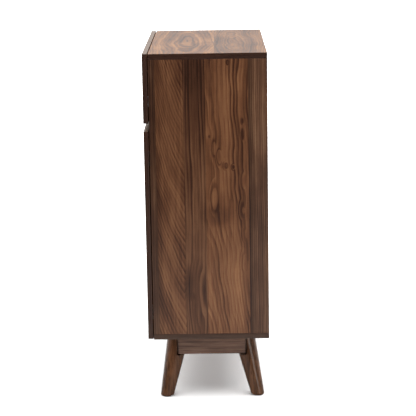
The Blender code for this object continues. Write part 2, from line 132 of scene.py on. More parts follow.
# ------------------------------------------------------------------------------- node graphs
class Graph:
    """A material's nodes, joined by short calls that each return a socket."""

    def __init__(self, name: str) -> None:
        """Starts a material with one Principled shader.

        Args:
            name: The material's name.
        """
        self.material = bpy.data.materials.new(name)
        self.material.use_nodes = True
        self.tree = self.material.node_tree
        self.shader = self.tree.nodes["Principled BSDF"]

    def node(self, kind: str, **settings: object) -> bpy.types.Node:
        """Adds a node.

        Args:
            kind: The node's type without its ShaderNode prefix.
            **settings: Properties to set on it.

        Returns:
            The node.
        """
        made = self.tree.nodes.new("ShaderNode" + kind)
        for key, setting in settings.items():
            setattr(made, key, setting)
        return made

    def feed(self, socket: Socket, value: Value | Sequence[float]) -> None:
        """Links a socket, or sets its value when a plain number or colour is given.

        Args:
            socket: The input that takes the value.
            value: A socket, a number, or a tuple of numbers.
        """
        if isinstance(value, bpy.types.NodeSocket):
            self.tree.links.new(value, socket)
        else:
            socket.default_value = value

    def math(self, operation: str, *values: Value) -> Socket:
        """Joins one to three values with a Math node.

        Args:
            operation: The Math node's operation.
            *values: Its inputs in order.

        Returns:
            The result.
        """
        made = self.node("Math", operation=operation)
        for socket, value in zip(made.inputs, values):
            self.feed(socket, value)
        return made.outputs[0]

    def sway(self, noise: Socket, weight: float, base: Value) -> Socket:
        """Moves a value up and down with a noise: base + weight (noise - 0.5).

        Args:
            noise: A noise round 0.5.
            weight: How strongly it moves the value.
            base: The value.

        Returns:
            The moved value.
        """
        return self.math("MULTIPLY_ADD", self.math("SUBTRACT", noise, 0.5), weight, base)

    def place(self) -> tuple[Socket, Socket, Socket]:
        """The X, Y and Z of the point on the piece, in metres."""
        split = self.node("SeparateXYZ")
        self.feed(split.inputs[0], self.node("TexCoord").outputs["Object"])
        return split.outputs[0], split.outputs[1], split.outputs[2]

    def join(self, x: Value, y: Value, z: Value) -> Socket:
        """Makes a vector of three values.

        Args:
            x: First value.
            y: Second value.
            z: Third value.

        Returns:
            The vector.
        """
        made = self.node("CombineXYZ")
        for socket, value in zip(made.inputs, (x, y, z)):
            self.feed(socket, value)
        return made.outputs[0]

    def stretch(self, across: Value, along: Value, deep: Value, pull: Sequence[float]) -> Socket:
        """A vector whose three parts are each scaled, which draws a noise out into streaks.

        Args:
            across: Part across the grain.
            along: Part along the grain.
            deep: Part into the board.
            pull: Scale of each part.

        Returns:
            The scaled vector.
        """
        parts = [self.math("MULTIPLY", part, scale) for part, scale in zip((across, along, deep), pull)]
        return self.join(*parts)

    def noise(self, vector: Socket, detail: float = 2.0, rough: float = 0.5) -> Socket:
        """A noise between about 0.2 and 0.8.

        Args:
            vector: Where it is read.
            detail: How many octaves it has.
            rough: How strong the finer octaves are.

        Returns:
            The noise value.
        """
        made = self.node("TexNoise")
        self.feed(made.inputs["Vector"], vector)
        made.inputs["Scale"].default_value = 1.0
        made.inputs["Detail"].default_value = detail
        made.inputs["Roughness"].default_value = rough
        return made.outputs["Fac"]

    def spread(
        self, value: Value, low: float, high: float, to_low: float = 0.0, to_high: float = 1.0
    ) -> Socket:
        """Carries a range onto another, smoothly, and holds it at the ends.

        Args:
            value: What is carried over.
            low: Value that becomes to_low.
            high: Value that becomes to_high.
            to_low: Result at low.
            to_high: Result at high.

        Returns:
            The new value.
        """
        made = self.node("MapRange", interpolation_type="SMOOTHSTEP")
        for socket, number in zip(made.inputs, (value, low, high, to_low, to_high)):
            self.feed(socket, number)
        return made.outputs[0]

    def ramp(self, value: Value, stops: Sequence[tuple[float, Colour]]) -> Socket:
        """A colour ramp.

        Args:
            value: Where on the ramp, from 0 to 1.
            stops: Places and linear colours, in order.

        Returns:
            The colour.
        """
        made = self.node("ValToRGB")
        bar = made.color_ramp
        while len(bar.elements) < len(stops):
            bar.elements.new(0.5)
        for element, (spot, colour) in zip(bar.elements, stops):
            element.position = spot
            element.color = (*colour, 1.0)
        self.feed(made.inputs[0], value)
        return made.outputs[0]

    def tint(self, base: Value, shade: Value | Sequence[float], amount: Value) -> Socket:
        """Multiplies one colour by another.

        Args:
            base: The colour below.
            shade: The colour that it is multiplied by.
            amount: How much of that shows, from 0 to 1.

        Returns:
            The new colour.
        """
        made = self.node("Mix", data_type="RGBA", blend_type="MULTIPLY")
        self.feed(made.inputs["Factor"], amount)
        self.feed(made.inputs[6], base)
        self.feed(made.inputs[7], shade)
        return made.outputs[2]

    def finish(self, colour: Value, rough: Value, height: Value | None, lift: float) -> bpy.types.Material:
        """Joins the colour, roughness and bump to the shader.

        Args:
            colour: Base colour.
            rough: Roughness.
            height: Relief from 0 to 1, or None for a smooth surface.
            lift: Height of the relief in metres.

        Returns:
            The finished material.
        """
        self.feed(self.shader.inputs["Base Color"], colour)
        self.feed(self.shader.inputs["Roughness"], rough)
        if height is not None:
            bump = self.node("Bump")
            bump.inputs["Distance"].default_value = lift
            bump.inputs["Strength"].default_value = 1.0
            self.feed(bump.inputs["Height"], height)
            self.feed(self.shader.inputs["Normal"], bump.outputs[0])
        return self.material


# ------------------------------------------------------------------------------- finishes
def pulls(axis: Axis, on_axis: float, off_axis: float) -> list[float]:
    """Scales for Graph.stretch that differ along one axis.

    Args:
        axis: The axis that differs.
        on_axis: Its scale.
        off_axis: Scale of the two others.

    Returns:
        The three scales.
    """
    return [on_axis if number == axis else off_axis for number in range(3)]


@dataclass(frozen=True)
class Streaks:
    """A noise that is drawn out along the grain.

    Attributes:
        pull: How often it changes in a metre across the grain, along it and into the board.
        detail: How many octaves it has.
        rough: How strong the finer octaves are.
    """

    pull: tuple[float, float, float]
    detail: float = 2.0
    rough: float = 0.5

    def read(self, graph: Graph, *place: Value) -> Socket:
        """Reads the noise.

        Args:
            graph: The material's nodes.
            *place: Place across the grain, along it and into the board.

        Returns:
            The noise value.
        """
        return graph.noise(graph.stretch(*place, self.pull), self.detail, self.rough)


@dataclass(frozen=True)
class Plank:
    """One strip of veneer. Its grain lines are rings round a log axis that leans away from the face.

    Attributes:
        edge: Where the strip starts across the board.
        heart: Where the log axis lies across the board.
        lean: How fast the axis sinks along the board; it draws the lines into arches.
        root: Where along the board the axis would meet the face.
        crest: Where along the board the arches end and the lines run straight.
        ring: Distance between grain lines.
        tone: Colour factor of the strip.
        seam_shade: How dark the strip is next to its starting edge.
        wave: How strongly the lines wander, 1 for wild wood and 0 for straight.
    """

    edge: float
    heart: float
    lean: float = 0.0
    root: float = 0.0
    crest: float = 9.0
    ring: float = 0.008
    tone: Colour = (1.0, 1.0, 1.0)
    seam_shade: float = 0.0
    wave: float = 0.22


@dataclass(frozen=True)
class Mark:
    """A knot, an eye or a dark patch in the veneer.

    Attributes:
        across: Place across the grain.
        along: Place along the grain.
        wide: Half width.
        tall: Half length.
        dark: How much darker its middle is.
        pull: How far it bends the grain lines.
    """

    across: float
    along: float
    wide: float
    tall: float
    dark: float
    pull: float = 0.0


def mixed_planks(low: float, high: float, seed: int) -> tuple[Plank, ...]:
    """Lays out strips of veneer of different widths and figure between two edges.

    Args:
        low: First edge of the board, across the grain.
        high: Last edge.
        seed: Which of the layouts is drawn.

    Returns:
        The strips in order.
    """
    draw = np.random.default_rng(seed)
    planks: list[Plank] = []
    edge = low - 0.01
    while edge < high:
        width = float(draw.uniform(0.075, 0.145))
        arched = draw.random() < 0.55
        if arched:
            heart = edge + width * float(draw.uniform(0.3, 0.7))
        else:
            heart = edge - float(draw.uniform(0.15, 0.3))
        level = float(draw.uniform(0.88, 1.10))
        warm = float(draw.uniform(-0.05, 0.05))
        planks.append(Plank(
            edge=edge, heart=heart, lean=float(draw.uniform(0.10, 0.2)) if arched else 0.02,
            root=float(draw.uniform(-0.6, -0.1)), ring=float(draw.uniform(0.006, 0.011)),
            tone=(level, level * (1 - warm), level * (1 - 2 * warm)),
        ))
        edge += width
    return tuple(planks)


@dataclass(frozen=True)
class WalnutVeneer:
    """Satin walnut veneer laid in strips, with arches, knots, pores and fine fibres.

    Attributes:
        name: Name of the material.
        across: Axis across the grain.
        along: Axis along the grain.
        planks: The strips, in order across the board.
        marks: Knots and patches.
        seed: Shifts the noises, so that no two boards are alike.
        fade: Painted light: how much paler the wood grows with each metre down the grain, standing in for
            light bounced up off the floor.
        face: Where the board's good face lies on the third axis; the hearts hold there.
        index: Refractive index of the lacquer.
        rough: Roughness of the lacquer.
        light: Colour of the pale wood.
        middle: Colour of most of it.
        dark: Colour of the darkest lines.
        slot: Material slot of the record; not used.
    """

    name: str
    across: Axis
    along: Axis
    planks: tuple[Plank, ...]
    marks: tuple[Mark, ...] = ()
    seed: float = 0.0
    fade: float = 0.0
    face: float = 0.0
    index: float = 1.23
    rough: float = 0.30
    light: Colour = (0.175, 0.082, 0.039)
    middle: Colour = (0.084, 0.0345, 0.0165)
    dark: Colour = (0.026, 0.0098, 0.0052)
    slot: Slot = Slot.VENEER

    # The wood's noises.
    DRIFT = Streaks((9, 2.6, 1.7), 2.5)
    RIPPLE = Streaks((46, 11, 3.1))
    SWELL = Streaks((5, 5.5, 2.3), 1.5)
    VARY = Streaks((30, 3.2, 4.0))
    BAND = Streaks((85, 0.45, 6.0), 1.5)
    STREAK = Streaks((260, 5.0, 60), 2.5, 0.6)
    FIBRE = Streaks((1500, 26, 300), 2.0, 0.6)
    PORE = Streaks((1100, 90, 500), 1.0)
    CLOUD = Streaks((11, 3.6, 2.0), 3.0, 0.55)
    # How far drift and ripple push the rings sideways, and swell along the log, in metres.
    DRIFT_SIZE, RIPPLE_SIZE, SWELL_SIZE = 0.085, 0.0100, 0.080
    # How far the rings move sideways for each metre into the board.
    SLANT = 0.7
    # Shift of the noises from one strip to the next.
    STRIP_SHIFT = 3.7
    # Brightness between the lines, what a full line takes off it, and the height where the painted floor
    # light is nil.
    BASE_LEVEL, LINE_DEPTH, FADE_LEVEL = 0.64, 0.54, 0.7
    # Distance from a seam where its hairline is full and where it ends, and how dark it is.
    HAIRLINE, HAIRLINE_SHADE = (0.0002, 0.0016), 0.55
    # Width of the dark fringe past a shaded seam.
    FRINGE = 0.026
    HAIRLINE_COLOUR = (0.35, 0.32, 0.30, 1.0)
    FRINGE_COLOUR = (0.35, 0.35, 0.35, 1.0)
    PORE_COLOUR = (0.45, 0.40, 0.38, 1.0)

    def by_plank(self, graph: Graph, steps: Sequence[Socket], values: Sequence[float]) -> Value:
        """A number that changes at each seam: the first strip's, plus a step at every seam passed.

        Args:
            graph: The material's nodes.
            steps: For each seam, 1 past it and 0 before it.
            values: One number for each strip.

        Returns:
            The number for the strip that the point is in.
        """
        total: Value = values[0]
        for step, before, after in zip(steps, values, values[1:]):
            if after != before:
                total = graph.math("MULTIPLY_ADD", step, after - before, total)
        return total

    def mark_depth(self, graph: Graph, u: Socket, v: Socket, mark: Mark) -> Socket:
        """How far inside a mark a point is: 1 at its middle, 0 from its rim outwards.

        Args:
            graph: The material's nodes.
            u: Place across.
            v: Place along.
            mark: The knot or patch.

        Returns:
            The depth, a smooth step of the distance in an ellipse.
        """
        du = graph.math("MULTIPLY_ADD", u, 1 / mark.wide, -mark.across / mark.wide)
        dv = graph.math("MULTIPLY_ADD", v, 1 / mark.tall, -mark.along / mark.tall)
        square = graph.math("MULTIPLY_ADD", du, du, graph.math("MULTIPLY", dv, dv))
        return graph.spread(square, 0.0, 2.2, 1.0, 0.0)

    def log_reach(self, graph: Graph, place: Spot, shifted: Spot, steps: Sequence[Socket]) -> Socket:
        """Distance from the log's axis, sqrt(side^2 + sink^2), with both parts bent by noise.

        Unbent, side = u - heart + slant (w - face) and sink = lean (min(v, crest) - root).

        Args:
            graph: The material's nodes.
            place: Place across, along and into the board.
            shifted: The same, moved for this board and strip; the noises are read there.
            steps: For each seam, 1 past it and 0 before it.

        Returns:
            The distance.
        """
        u, v, w = place
        heart, lean, root, crest, wave = (
            self.by_plank(graph, steps, [getattr(plank, size) for plank in self.planks])
            for size in ("heart", "lean", "root", "crest", "wave")
        )
        stray = graph.sway(self.DRIFT.read(graph, *shifted), self.DRIFT_SIZE, 0.0)
        stray = graph.sway(self.RIPPLE.read(graph, *shifted), self.RIPPLE_SIZE, stray)
        side = graph.math("MULTIPLY_ADD", stray, wave, graph.math("SUBTRACT", u, heart))
        side = graph.math("MULTIPLY_ADD", graph.math("SUBTRACT", w, self.face), self.SLANT, side)
        rise = graph.sway(self.SWELL.read(graph, *shifted), self.SWELL_SIZE, 0.0)
        sink = graph.math("SUBTRACT", graph.math("MINIMUM", v, crest), root)
        sink = graph.math("MULTIPLY_ADD", rise, wave, graph.math("MULTIPLY", sink, lean))
        square = graph.math("MULTIPLY_ADD", side, side, graph.math("MULTIPLY", sink, sink))
        return graph.math("SQRT", square)

    def grain_lines(self, graph: Graph, turns: Socket, strip: Value, vary: Socket) -> Socket:
        """Dark lines, one to a ring: each darkens slowly, pales quickly and has its own strength.

        Args:
            graph: The material's nodes.
            turns: Distance from the log's axis, counted in rings.
            strip: The strip's own shift.
            vary: Noise that weakens stretches of the lines.

        Returns:
            How dark the lines are, from 0 to 1.
        """
        phase = graph.math("FRACT", turns)
        line = graph.math("MULTIPLY", graph.spread(phase, 0.20, 0.86), graph.spread(phase, 1.0, 0.91))
        each = graph.node("TexWhiteNoise", noise_dimensions="1D")
        graph.feed(each.inputs["W"], graph.math("ADD", graph.math("FLOOR", turns), strip))
        strength = graph.math("MULTIPLY_ADD", each.outputs["Value"], 0.70, 0.30)
        line = graph.math("MULTIPLY", line, strength)
        return graph.math("MULTIPLY", line, graph.spread(vary, 0.30, 0.68, 0.25, 1.0))

    def seams(self, graph: Graph, u: Socket, colour: Socket) -> Socket:
        """Darkens the hairline at each seam, and a fringe past the seams that have a shade.

        Args:
            graph: The material's nodes.
            u: Place across.
            colour: Colour of the wood.

        Returns:
            The darkened colour.
        """
        nearest: Value = 1.0
        for plank in self.planks[1:]:
            off = graph.math("ABSOLUTE", graph.math("SUBTRACT", u, plank.edge))
            nearest = graph.math("MINIMUM", nearest, off)
        if len(self.planks) > 1:
            hairline = graph.spread(nearest, *self.HAIRLINE, self.HAIRLINE_SHADE, 0.0)
            colour = graph.tint(colour, self.HAIRLINE_COLOUR, hairline)
        for plank in self.planks:
            if plank.seam_shade:
                fringe = graph.spread(u, plank.edge, plank.edge + self.FRINGE, plank.seam_shade, 0.0)
                fringe = graph.math("MULTIPLY", fringe, graph.math("GREATER_THAN", u, plank.edge))
                colour = graph.tint(colour, self.FRINGE_COLOUR, fringe)
        return colour

    @lru_cache(maxsize=None)
    def material(self) -> bpy.types.Material:
        """Builds the veneer once: rings of the log, bent by noise and by the marks, under fine fibres."""
        g = Graph(self.name)
        axes = g.place()
        u, v, w = axes[self.across], axes[self.along], axes[3 - self.across - self.along]
        steps = [g.math("GREATER_THAN", u, plank.edge) for plank in self.planks[1:]]
        strip = self.by_plank(g, steps, [self.STRIP_SHIFT * i for i in range(len(self.planks))])
        shifted = u, g.math("ADD", v, self.seed), g.math("ADD", w, strip)

        reach = self.log_reach(g, (u, v, w), shifted, steps)
        shade: Value = 0.0
        for mark in self.marks:
            depth = self.mark_depth(g, u, v, mark)
            if mark.pull:
                reach = g.math("MULTIPLY_ADD", depth, mark.pull, reach)
            shade = g.math("MULTIPLY_ADD", depth, mark.dark, shade)
        ring = self.by_plank(g, steps, [plank.ring for plank in self.planks])
        line = self.grain_lines(g, g.math("DIVIDE", reach, ring), strip, self.VARY.read(g, *shifted))

        band = self.BAND.read(g, reach, *shifted[1:])
        streak, fibre, cloud, pore = (
            noise.read(g, *shifted) for noise in (self.STREAK, self.FIBRE, self.CLOUD, self.PORE)
        )
        pore = g.spread(pore, 0.62, 0.70)
        # Painted light: the wood grows paler down the grain, towards the floor, standing in for light
        # bounced off it.
        level = g.math("MULTIPLY_ADD", line, -self.LINE_DEPTH, self.BASE_LEVEL + self.FADE_LEVEL * self.fade)
        level = g.math("MULTIPLY_ADD", v, -self.fade, level)
        for noise, weight in ((streak, 0.80), (band, 0.90), (cloud, 1.05), (fibre, 0.26)):
            level = g.sway(noise, weight, level)
        level = g.math("SUBTRACT", level, shade)
        colour = g.ramp(level, ((0.06, self.dark), (0.50, self.middle), (0.94, self.light)))
        tones = [self.by_plank(g, steps, [plank.tone[i] for plank in self.planks]) for i in range(3)]
        colour = self.seams(g, u, g.tint(colour, g.join(*tones), 1.0))
        colour = g.tint(colour, self.PORE_COLOUR, g.math("MULTIPLY", pore, 0.5))

        rough = g.math("MULTIPLY_ADD", pore, 0.12, g.math("MULTIPLY_ADD", streak, 0.14, self.rough))
        relief = g.math("MULTIPLY_ADD", fibre, 0.5, g.math("MULTIPLY", streak, 0.5))
        relief = g.math("MULTIPLY_ADD", pore, -0.6, relief)
        g.shader.inputs["IOR"].default_value = self.index
        return g.finish(colour, rough, relief, 0.00005)


@dataclass(frozen=True)
class EdgeBand:
    """A walnut strip on a board's edge, its lines running along the edge.

    Attributes:
        name: Name of the material.
        thick: Axis through the board's thickness, across the lines.
        light: Colour of the pale lines.
        dark: Colour of the dark lines.
        index: Refractive index of the lacquer.
        rough: Roughness of the lacquer.
        slot: Material slot of the record; not used.
    """

    name: str
    thick: Axis
    light: Colour = (0.066, 0.036, 0.0235)
    dark: Colour = (0.025, 0.0122, 0.0082)
    index: float = 1.24
    rough: float = 0.34
    slot: Slot = Slot.VENEER

    @lru_cache(maxsize=None)
    def material(self) -> bpy.types.Material:
        """Builds the band once."""
        g = Graph(self.name)
        place = g.place()
        line = g.noise(g.stretch(*place, pulls(self.thick, 520, 7)), detail=3.0, rough=0.6)
        fibre = g.noise(g.stretch(*place, pulls(self.thick, 1400, 60)))
        colour = g.ramp(g.sway(fibre, 0.4, line), ((0.30, self.dark), (0.72, self.light)))
        g.shader.inputs["IOR"].default_value = self.index
        return g.finish(colour, g.math("MULTIPLY_ADD", line, 0.15, self.rough), fibre, 0.00004)


@dataclass(frozen=True)
class StainedWood:
    """Solid wood under a reddish brown stain and a satin lacquer, the grain along one axis.

    Attributes:
        name: Name of the material.
        along: Axis of the grain.
        light: Colour of the pale wood.
        dark: Colour of the dark lines.
        index: Refractive index of the lacquer.
        rough: Roughness of the lacquer.
        slot: Material slot of the record; not used.
    """

    name: str
    along: Axis
    light: Colour = (0.112, 0.049, 0.0235)
    dark: Colour = (0.028, 0.0122, 0.0060)
    index: float = 1.20
    rough: float = 0.12
    slot: Slot = Slot.LEG

    @lru_cache(maxsize=None)
    def material(self) -> bpy.types.Material:
        """Builds the stained wood once."""
        g = Graph(self.name)
        place = g.place()
        cloud = g.noise(g.stretch(*place, pulls(self.along, 5, 34)), detail=3.0)
        line = g.noise(g.stretch(*place, pulls(self.along, 7, 190)), detail=3.0, rough=0.6)
        fibre = g.noise(g.stretch(*place, pulls(self.along, 26, 900)))
        level = g.sway(fibre, 0.4, g.sway(cloud, 1.0, line))
        colour = g.ramp(level, ((0.26, self.dark), (0.74, self.light)))
        g.shader.inputs["IOR"].default_value = self.index
        return g.finish(colour, g.math("MULTIPLY_ADD", fibre, 0.08, self.rough), fibre, 0.00003)


@dataclass(frozen=True)
class PrintedBoard:
    """Board with a printed wood foil, as drawers and back panels have inside.

    Attributes:
        name: Name of the material.
        along: Axis of the printed grain.
        light: Pale colour.
        dark: Dark colour.
        slot: Material slot of the record; not used.
        index: Refractive index of the foil's varnish.
        rough: Roughness of the varnish.
    """

    name: str
    along: Axis
    light: Colour
    dark: Colour
    slot: Slot
    index: float = 1.25
    rough: float = 0.44

    @lru_cache(maxsize=None)
    def material(self) -> bpy.types.Material:
        """Builds the foil once."""
        g = Graph(self.name)
        place = g.place()
        line = g.noise(g.stretch(*place, pulls(self.along, 3, 170)), detail=3.0)
        grain = g.noise(g.stretch(*place, (900, 900, 900)), detail=1.0)
        colour = g.ramp(g.sway(grain, 0.25, line), ((0.28, self.dark), (0.72, self.light)))
        g.shader.inputs["IOR"].default_value = self.index
        return g.finish(colour, g.math("MULTIPLY_ADD", grain, 0.1, self.rough), grain, 0.00003)


@dataclass(frozen=True)
class PlatedSteel:
    """Pressed steel with a zinc or nickel plate, faintly streaked and worn.

    Attributes:
        name: Name of the material.
        bright: Colour of the clean metal.
        dull: Colour of the streaks.
        rough: Roughness of the clean metal.
        slot: Material slot of the record; not used.
    """

    name: str
    bright: Colour
    dull: Colour
    rough: float
    slot: Slot

    @lru_cache(maxsize=None)
    def material(self) -> bpy.types.Material:
        """Builds the metal once."""
        g = Graph(self.name)
        place = g.place()
        streak = g.noise(g.stretch(*place, (900, 60, 900)), detail=2.0)
        cloud = g.noise(g.stretch(*place, (90, 50, 90)), detail=3.0)
        colour = g.ramp(cloud, ((0.30, self.dull), (0.65, self.bright)))
        rough = g.math("MULTIPLY_ADD", streak, 0.18, self.rough - 0.06)
        g.shader.inputs["Metallic"].default_value = 1.0
        return g.finish(colour, rough, streak, 0.00001)


@dataclass(frozen=True)
class MouldedPlastic:
    """Matt moulded plastic with a fine spark texture.

    Attributes:
        name: Name of the material.
        light: Pale colour.
        dark: Dark colour.
        rough: Roughness.
        slot: Material slot of the record; not used.
    """

    name: str
    light: Colour
    dark: Colour
    rough: float
    slot: Slot

    @lru_cache(maxsize=None)
    def material(self) -> bpy.types.Material:
        """Builds the plastic once."""
        g = Graph(self.name)
        grain = g.noise(g.stretch(*g.place(), (2600, 2600, 2600)), detail=2.0)
        colour = g.ramp(grain, ((0.35, self.dark), (0.65, self.light)))
        return g.finish(colour, g.math("MULTIPLY_ADD", grain, 0.12, self.rough - 0.06), grain, 0.00002)


Finish = WalnutVeneer | EdgeBand | StainedWood | PrintedBoard | PlatedSteel | MouldedPlastic


# ------------------------------------------------------------------------------- surfaces
class Shell:
    """Collects grid surfaces and welds them into one closed piece."""

    # Points nearer than this are welded into one.
    WELD = 1e-6
    # A face lies square to an axis when its normal's part along that axis is over this.
    SQUARE = 0.72

    def __init__(self) -> None:
        """Starts with no surface."""
        self._points: list[np.ndarray] = []
        self._faces: list[tuple[int, ...]] = []
        self._count = 0

    def grid(
        self, points: np.ndarray, wrap: bool = True, caps: bool = True, holes: np.ndarray | None = None
    ) -> "Shell":
        """Adds a surface that is a grid of points, one quad to each cell.

        Args:
            points: The points, as rows, columns and coordinates.
            wrap: Whether the last column joins the first.
            caps: Whether the first and the last row are each closed by a flat face.
            holes: True for each cell that is left out, or None.

        Returns:
            The shell itself.
        """
        rows, columns = points.shape[:2]
        index = np.arange(rows * columns).reshape(rows, columns) + self._count
        near = index if wrap else index[:, :-1]
        far = np.roll(index, -1, axis=1) if wrap else index[:, 1:]
        quads = np.stack((near[:-1], far[:-1], far[1:], near[1:]), axis=-1)
        if holes is not None:
            quads = quads[~holes]
        self._faces += [tuple(quad) for quad in quads.reshape(-1, 4).tolist()]
        if caps:
            self._faces += [tuple(index[0, ::-1].tolist()), tuple(index[-1].tolist())]
        self._points.append(points.reshape(-1, 3))
        self._count += rows * columns
        return self

    def build(
        self, name: str, finishes: Sequence[Finish], body: str, replaces: Sequence[str] = (),
        thick: Axis | None = None, crease: float = 32.0,
    ) -> bpy.types.Object:
        """Makes the piece: welds it, turns its faces outwards, dresses it and lets it ride.

        Args:
            name: Name of the piece.
            finishes: Its finish. A board may add those of its edges, of its top and bottom edges,
                and of its face on the high side.
            body: Body it moves with.
            replaces: CAD nodes that it stands for.
            thick: A board's axis through its thickness, which tells its faces from its edges.
            crease: Angle in degrees above which an edge stays sharp.

        Returns:
            The piece.
        """
        mesh = bpy.data.meshes.new(name)
        mesh.from_pydata(np.concatenate(self._points).tolist(), [], self._faces)
        maker = bmesh.new()
        maker.from_mesh(mesh)
        bmesh.ops.remove_doubles(maker, verts=maker.verts[:], dist=self.WELD)
        bmesh.ops.dissolve_degenerate(maker, edges=maker.edges[:], dist=self.WELD / 10)
        bmesh.ops.recalc_face_normals(maker, faces=maker.faces[:])
        maker.to_mesh(mesh)
        maker.free()
        mesh.shade_smooth()
        mesh.set_sharp_from_angle(angle=math.radians(crease))
        for finish in finishes:
            mesh.materials.append(finish.material())
        if thick is not None and len(finishes) > 1:
            normals = np.empty(len(mesh.polygons) * 3)
            mesh.polygons.foreach_get("normal", normals)
            normals = normals.reshape(-1, 3)
            kind = (np.abs(normals[:, thick]) < self.SQUARE).astype(np.int32)
            if len(finishes) > 2:
                kind[(np.abs(normals[:, Axis.HEIGHT]) > self.SQUARE) & (kind == 1)] = 2
            if len(finishes) > 3:
                kind[normals[:, thick] > self.SQUARE] = 3
            mesh.polygons.foreach_set("material_index", kind)
        piece = bpy.data.objects.new(name, mesh)
        bpy.context.scene.collection.objects.link(piece)
        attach(piece, body)
        if replaces:
            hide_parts(*replaces)
        LOG.info("%s: %d faces on %s", name, len(mesh.polygons), body)
        return piece


def lathe(profile: Sequence[tuple[float, float]], centre: Point, axis: Axis, turns: int = 32) -> np.ndarray:
    """A profile turned round an axis: each ring is centre + radius (cos t, sin t) at its own level.

    Args:
        profile: Radius and level of each ring.
        centre: Point that the levels start from.
        axis: Axis of the turning.
        turns: Points in a ring.

    Returns:
        Rings of points.
    """
    radius, level = np.array(profile).T
    angle = np.linspace(0, 2 * np.pi, turns, endpoint=False)
    points = np.empty((len(radius), turns, 3))
    points[..., axis] = level[:, None]
    points[..., (axis + 1) % 3] = radius[:, None] * np.cos(angle)
    points[..., (axis + 2) % 3] = radius[:, None] * np.sin(angle)
    return points + np.array(centre)


def ball(centre: Point, radius: float, turns: int = 12) -> np.ndarray:
    """A sphere: rings at radius (sin p, cos p), p from one pole to the other.

    Args:
        centre: Its middle.
        radius: Its radius.
        turns: Points in a ring.

    Returns:
        Rings of points.
    """
    pole = np.linspace(0, np.pi, turns // 2 + 1)
    profile = list(zip(radius * np.sin(pole), -radius * np.cos(pole)))
    return lathe(profile, centre, Axis.HEIGHT, turns)


def screw_head(centre: Point, axis: Axis, out: int, radius: float, proud: float) -> np.ndarray:
    """A cross-slotted head: a low dome, less a recess where |x| or |y| is under the slot's half width.

    Args:
        centre: Middle of the head's seat.
        axis: Axis that the screw points along.
        out: Which way along it the head faces.
        radius: Radius of the head.
        proud: Height of the dome.

    Returns:
        Rings of points, from the seat to the middle of the recess.
    """
    share = np.array((1.0, 1.0, 0.97, 0.85, 0.62, 0.58, 0.46, 0.32, 0.2, 0.1, 0.0))
    rise = np.array((0.0, 0.35, 0.6, 0.8, 0.95, 0.96, 0.97, 0.99, 1.0, 1.0, 1.0))
    slot_half, slot_reach, slot_depth = 0.11, 0.6, 0.75
    angle = np.linspace(0, 2 * np.pi, 32, endpoint=False)
    a = share[:, None] * np.cos(angle)
    b = share[:, None] * np.sin(angle)
    slot = (np.minimum(np.abs(a), np.abs(b)) < slot_half) & (share[:, None] < slot_reach)
    level = rise[:, None] * proud - np.where(slot, proud * slot_depth, 0.0)
    points = np.empty((*a.shape, 3))
    points[..., axis] = out * level
    points[..., (axis + 1) % 3] = a * radius
    points[..., (axis + 2) % 3] = b * radius
    return points + np.array(centre)


@dataclass(frozen=True)
class Groove:
    """A slot along one face of a board.

    Attributes:
        low: Its first edge, across the board.
        high: Its last edge.
        depth: How deep it is.
        start: Where along the board it begins.
        stop: Where it ends.
        upper: Whether it is in the face on the high side of the thickness.
    """

    low: float
    high: float
    depth: float
    start: float
    stop: float
    upper: bool


@dataclass(frozen=True)
class Pocket:
    """A round blind hole in one face of a board.

    Attributes:
        across: Its middle, across the board.
        along: Its middle, along the board.
        radius: Its radius.
        depth: How deep it is.
        patch: Half size of the square of face that is redrawn round it.
    """

    across: float
    along: float
    radius: float
    depth: float
    patch: float = 0.019


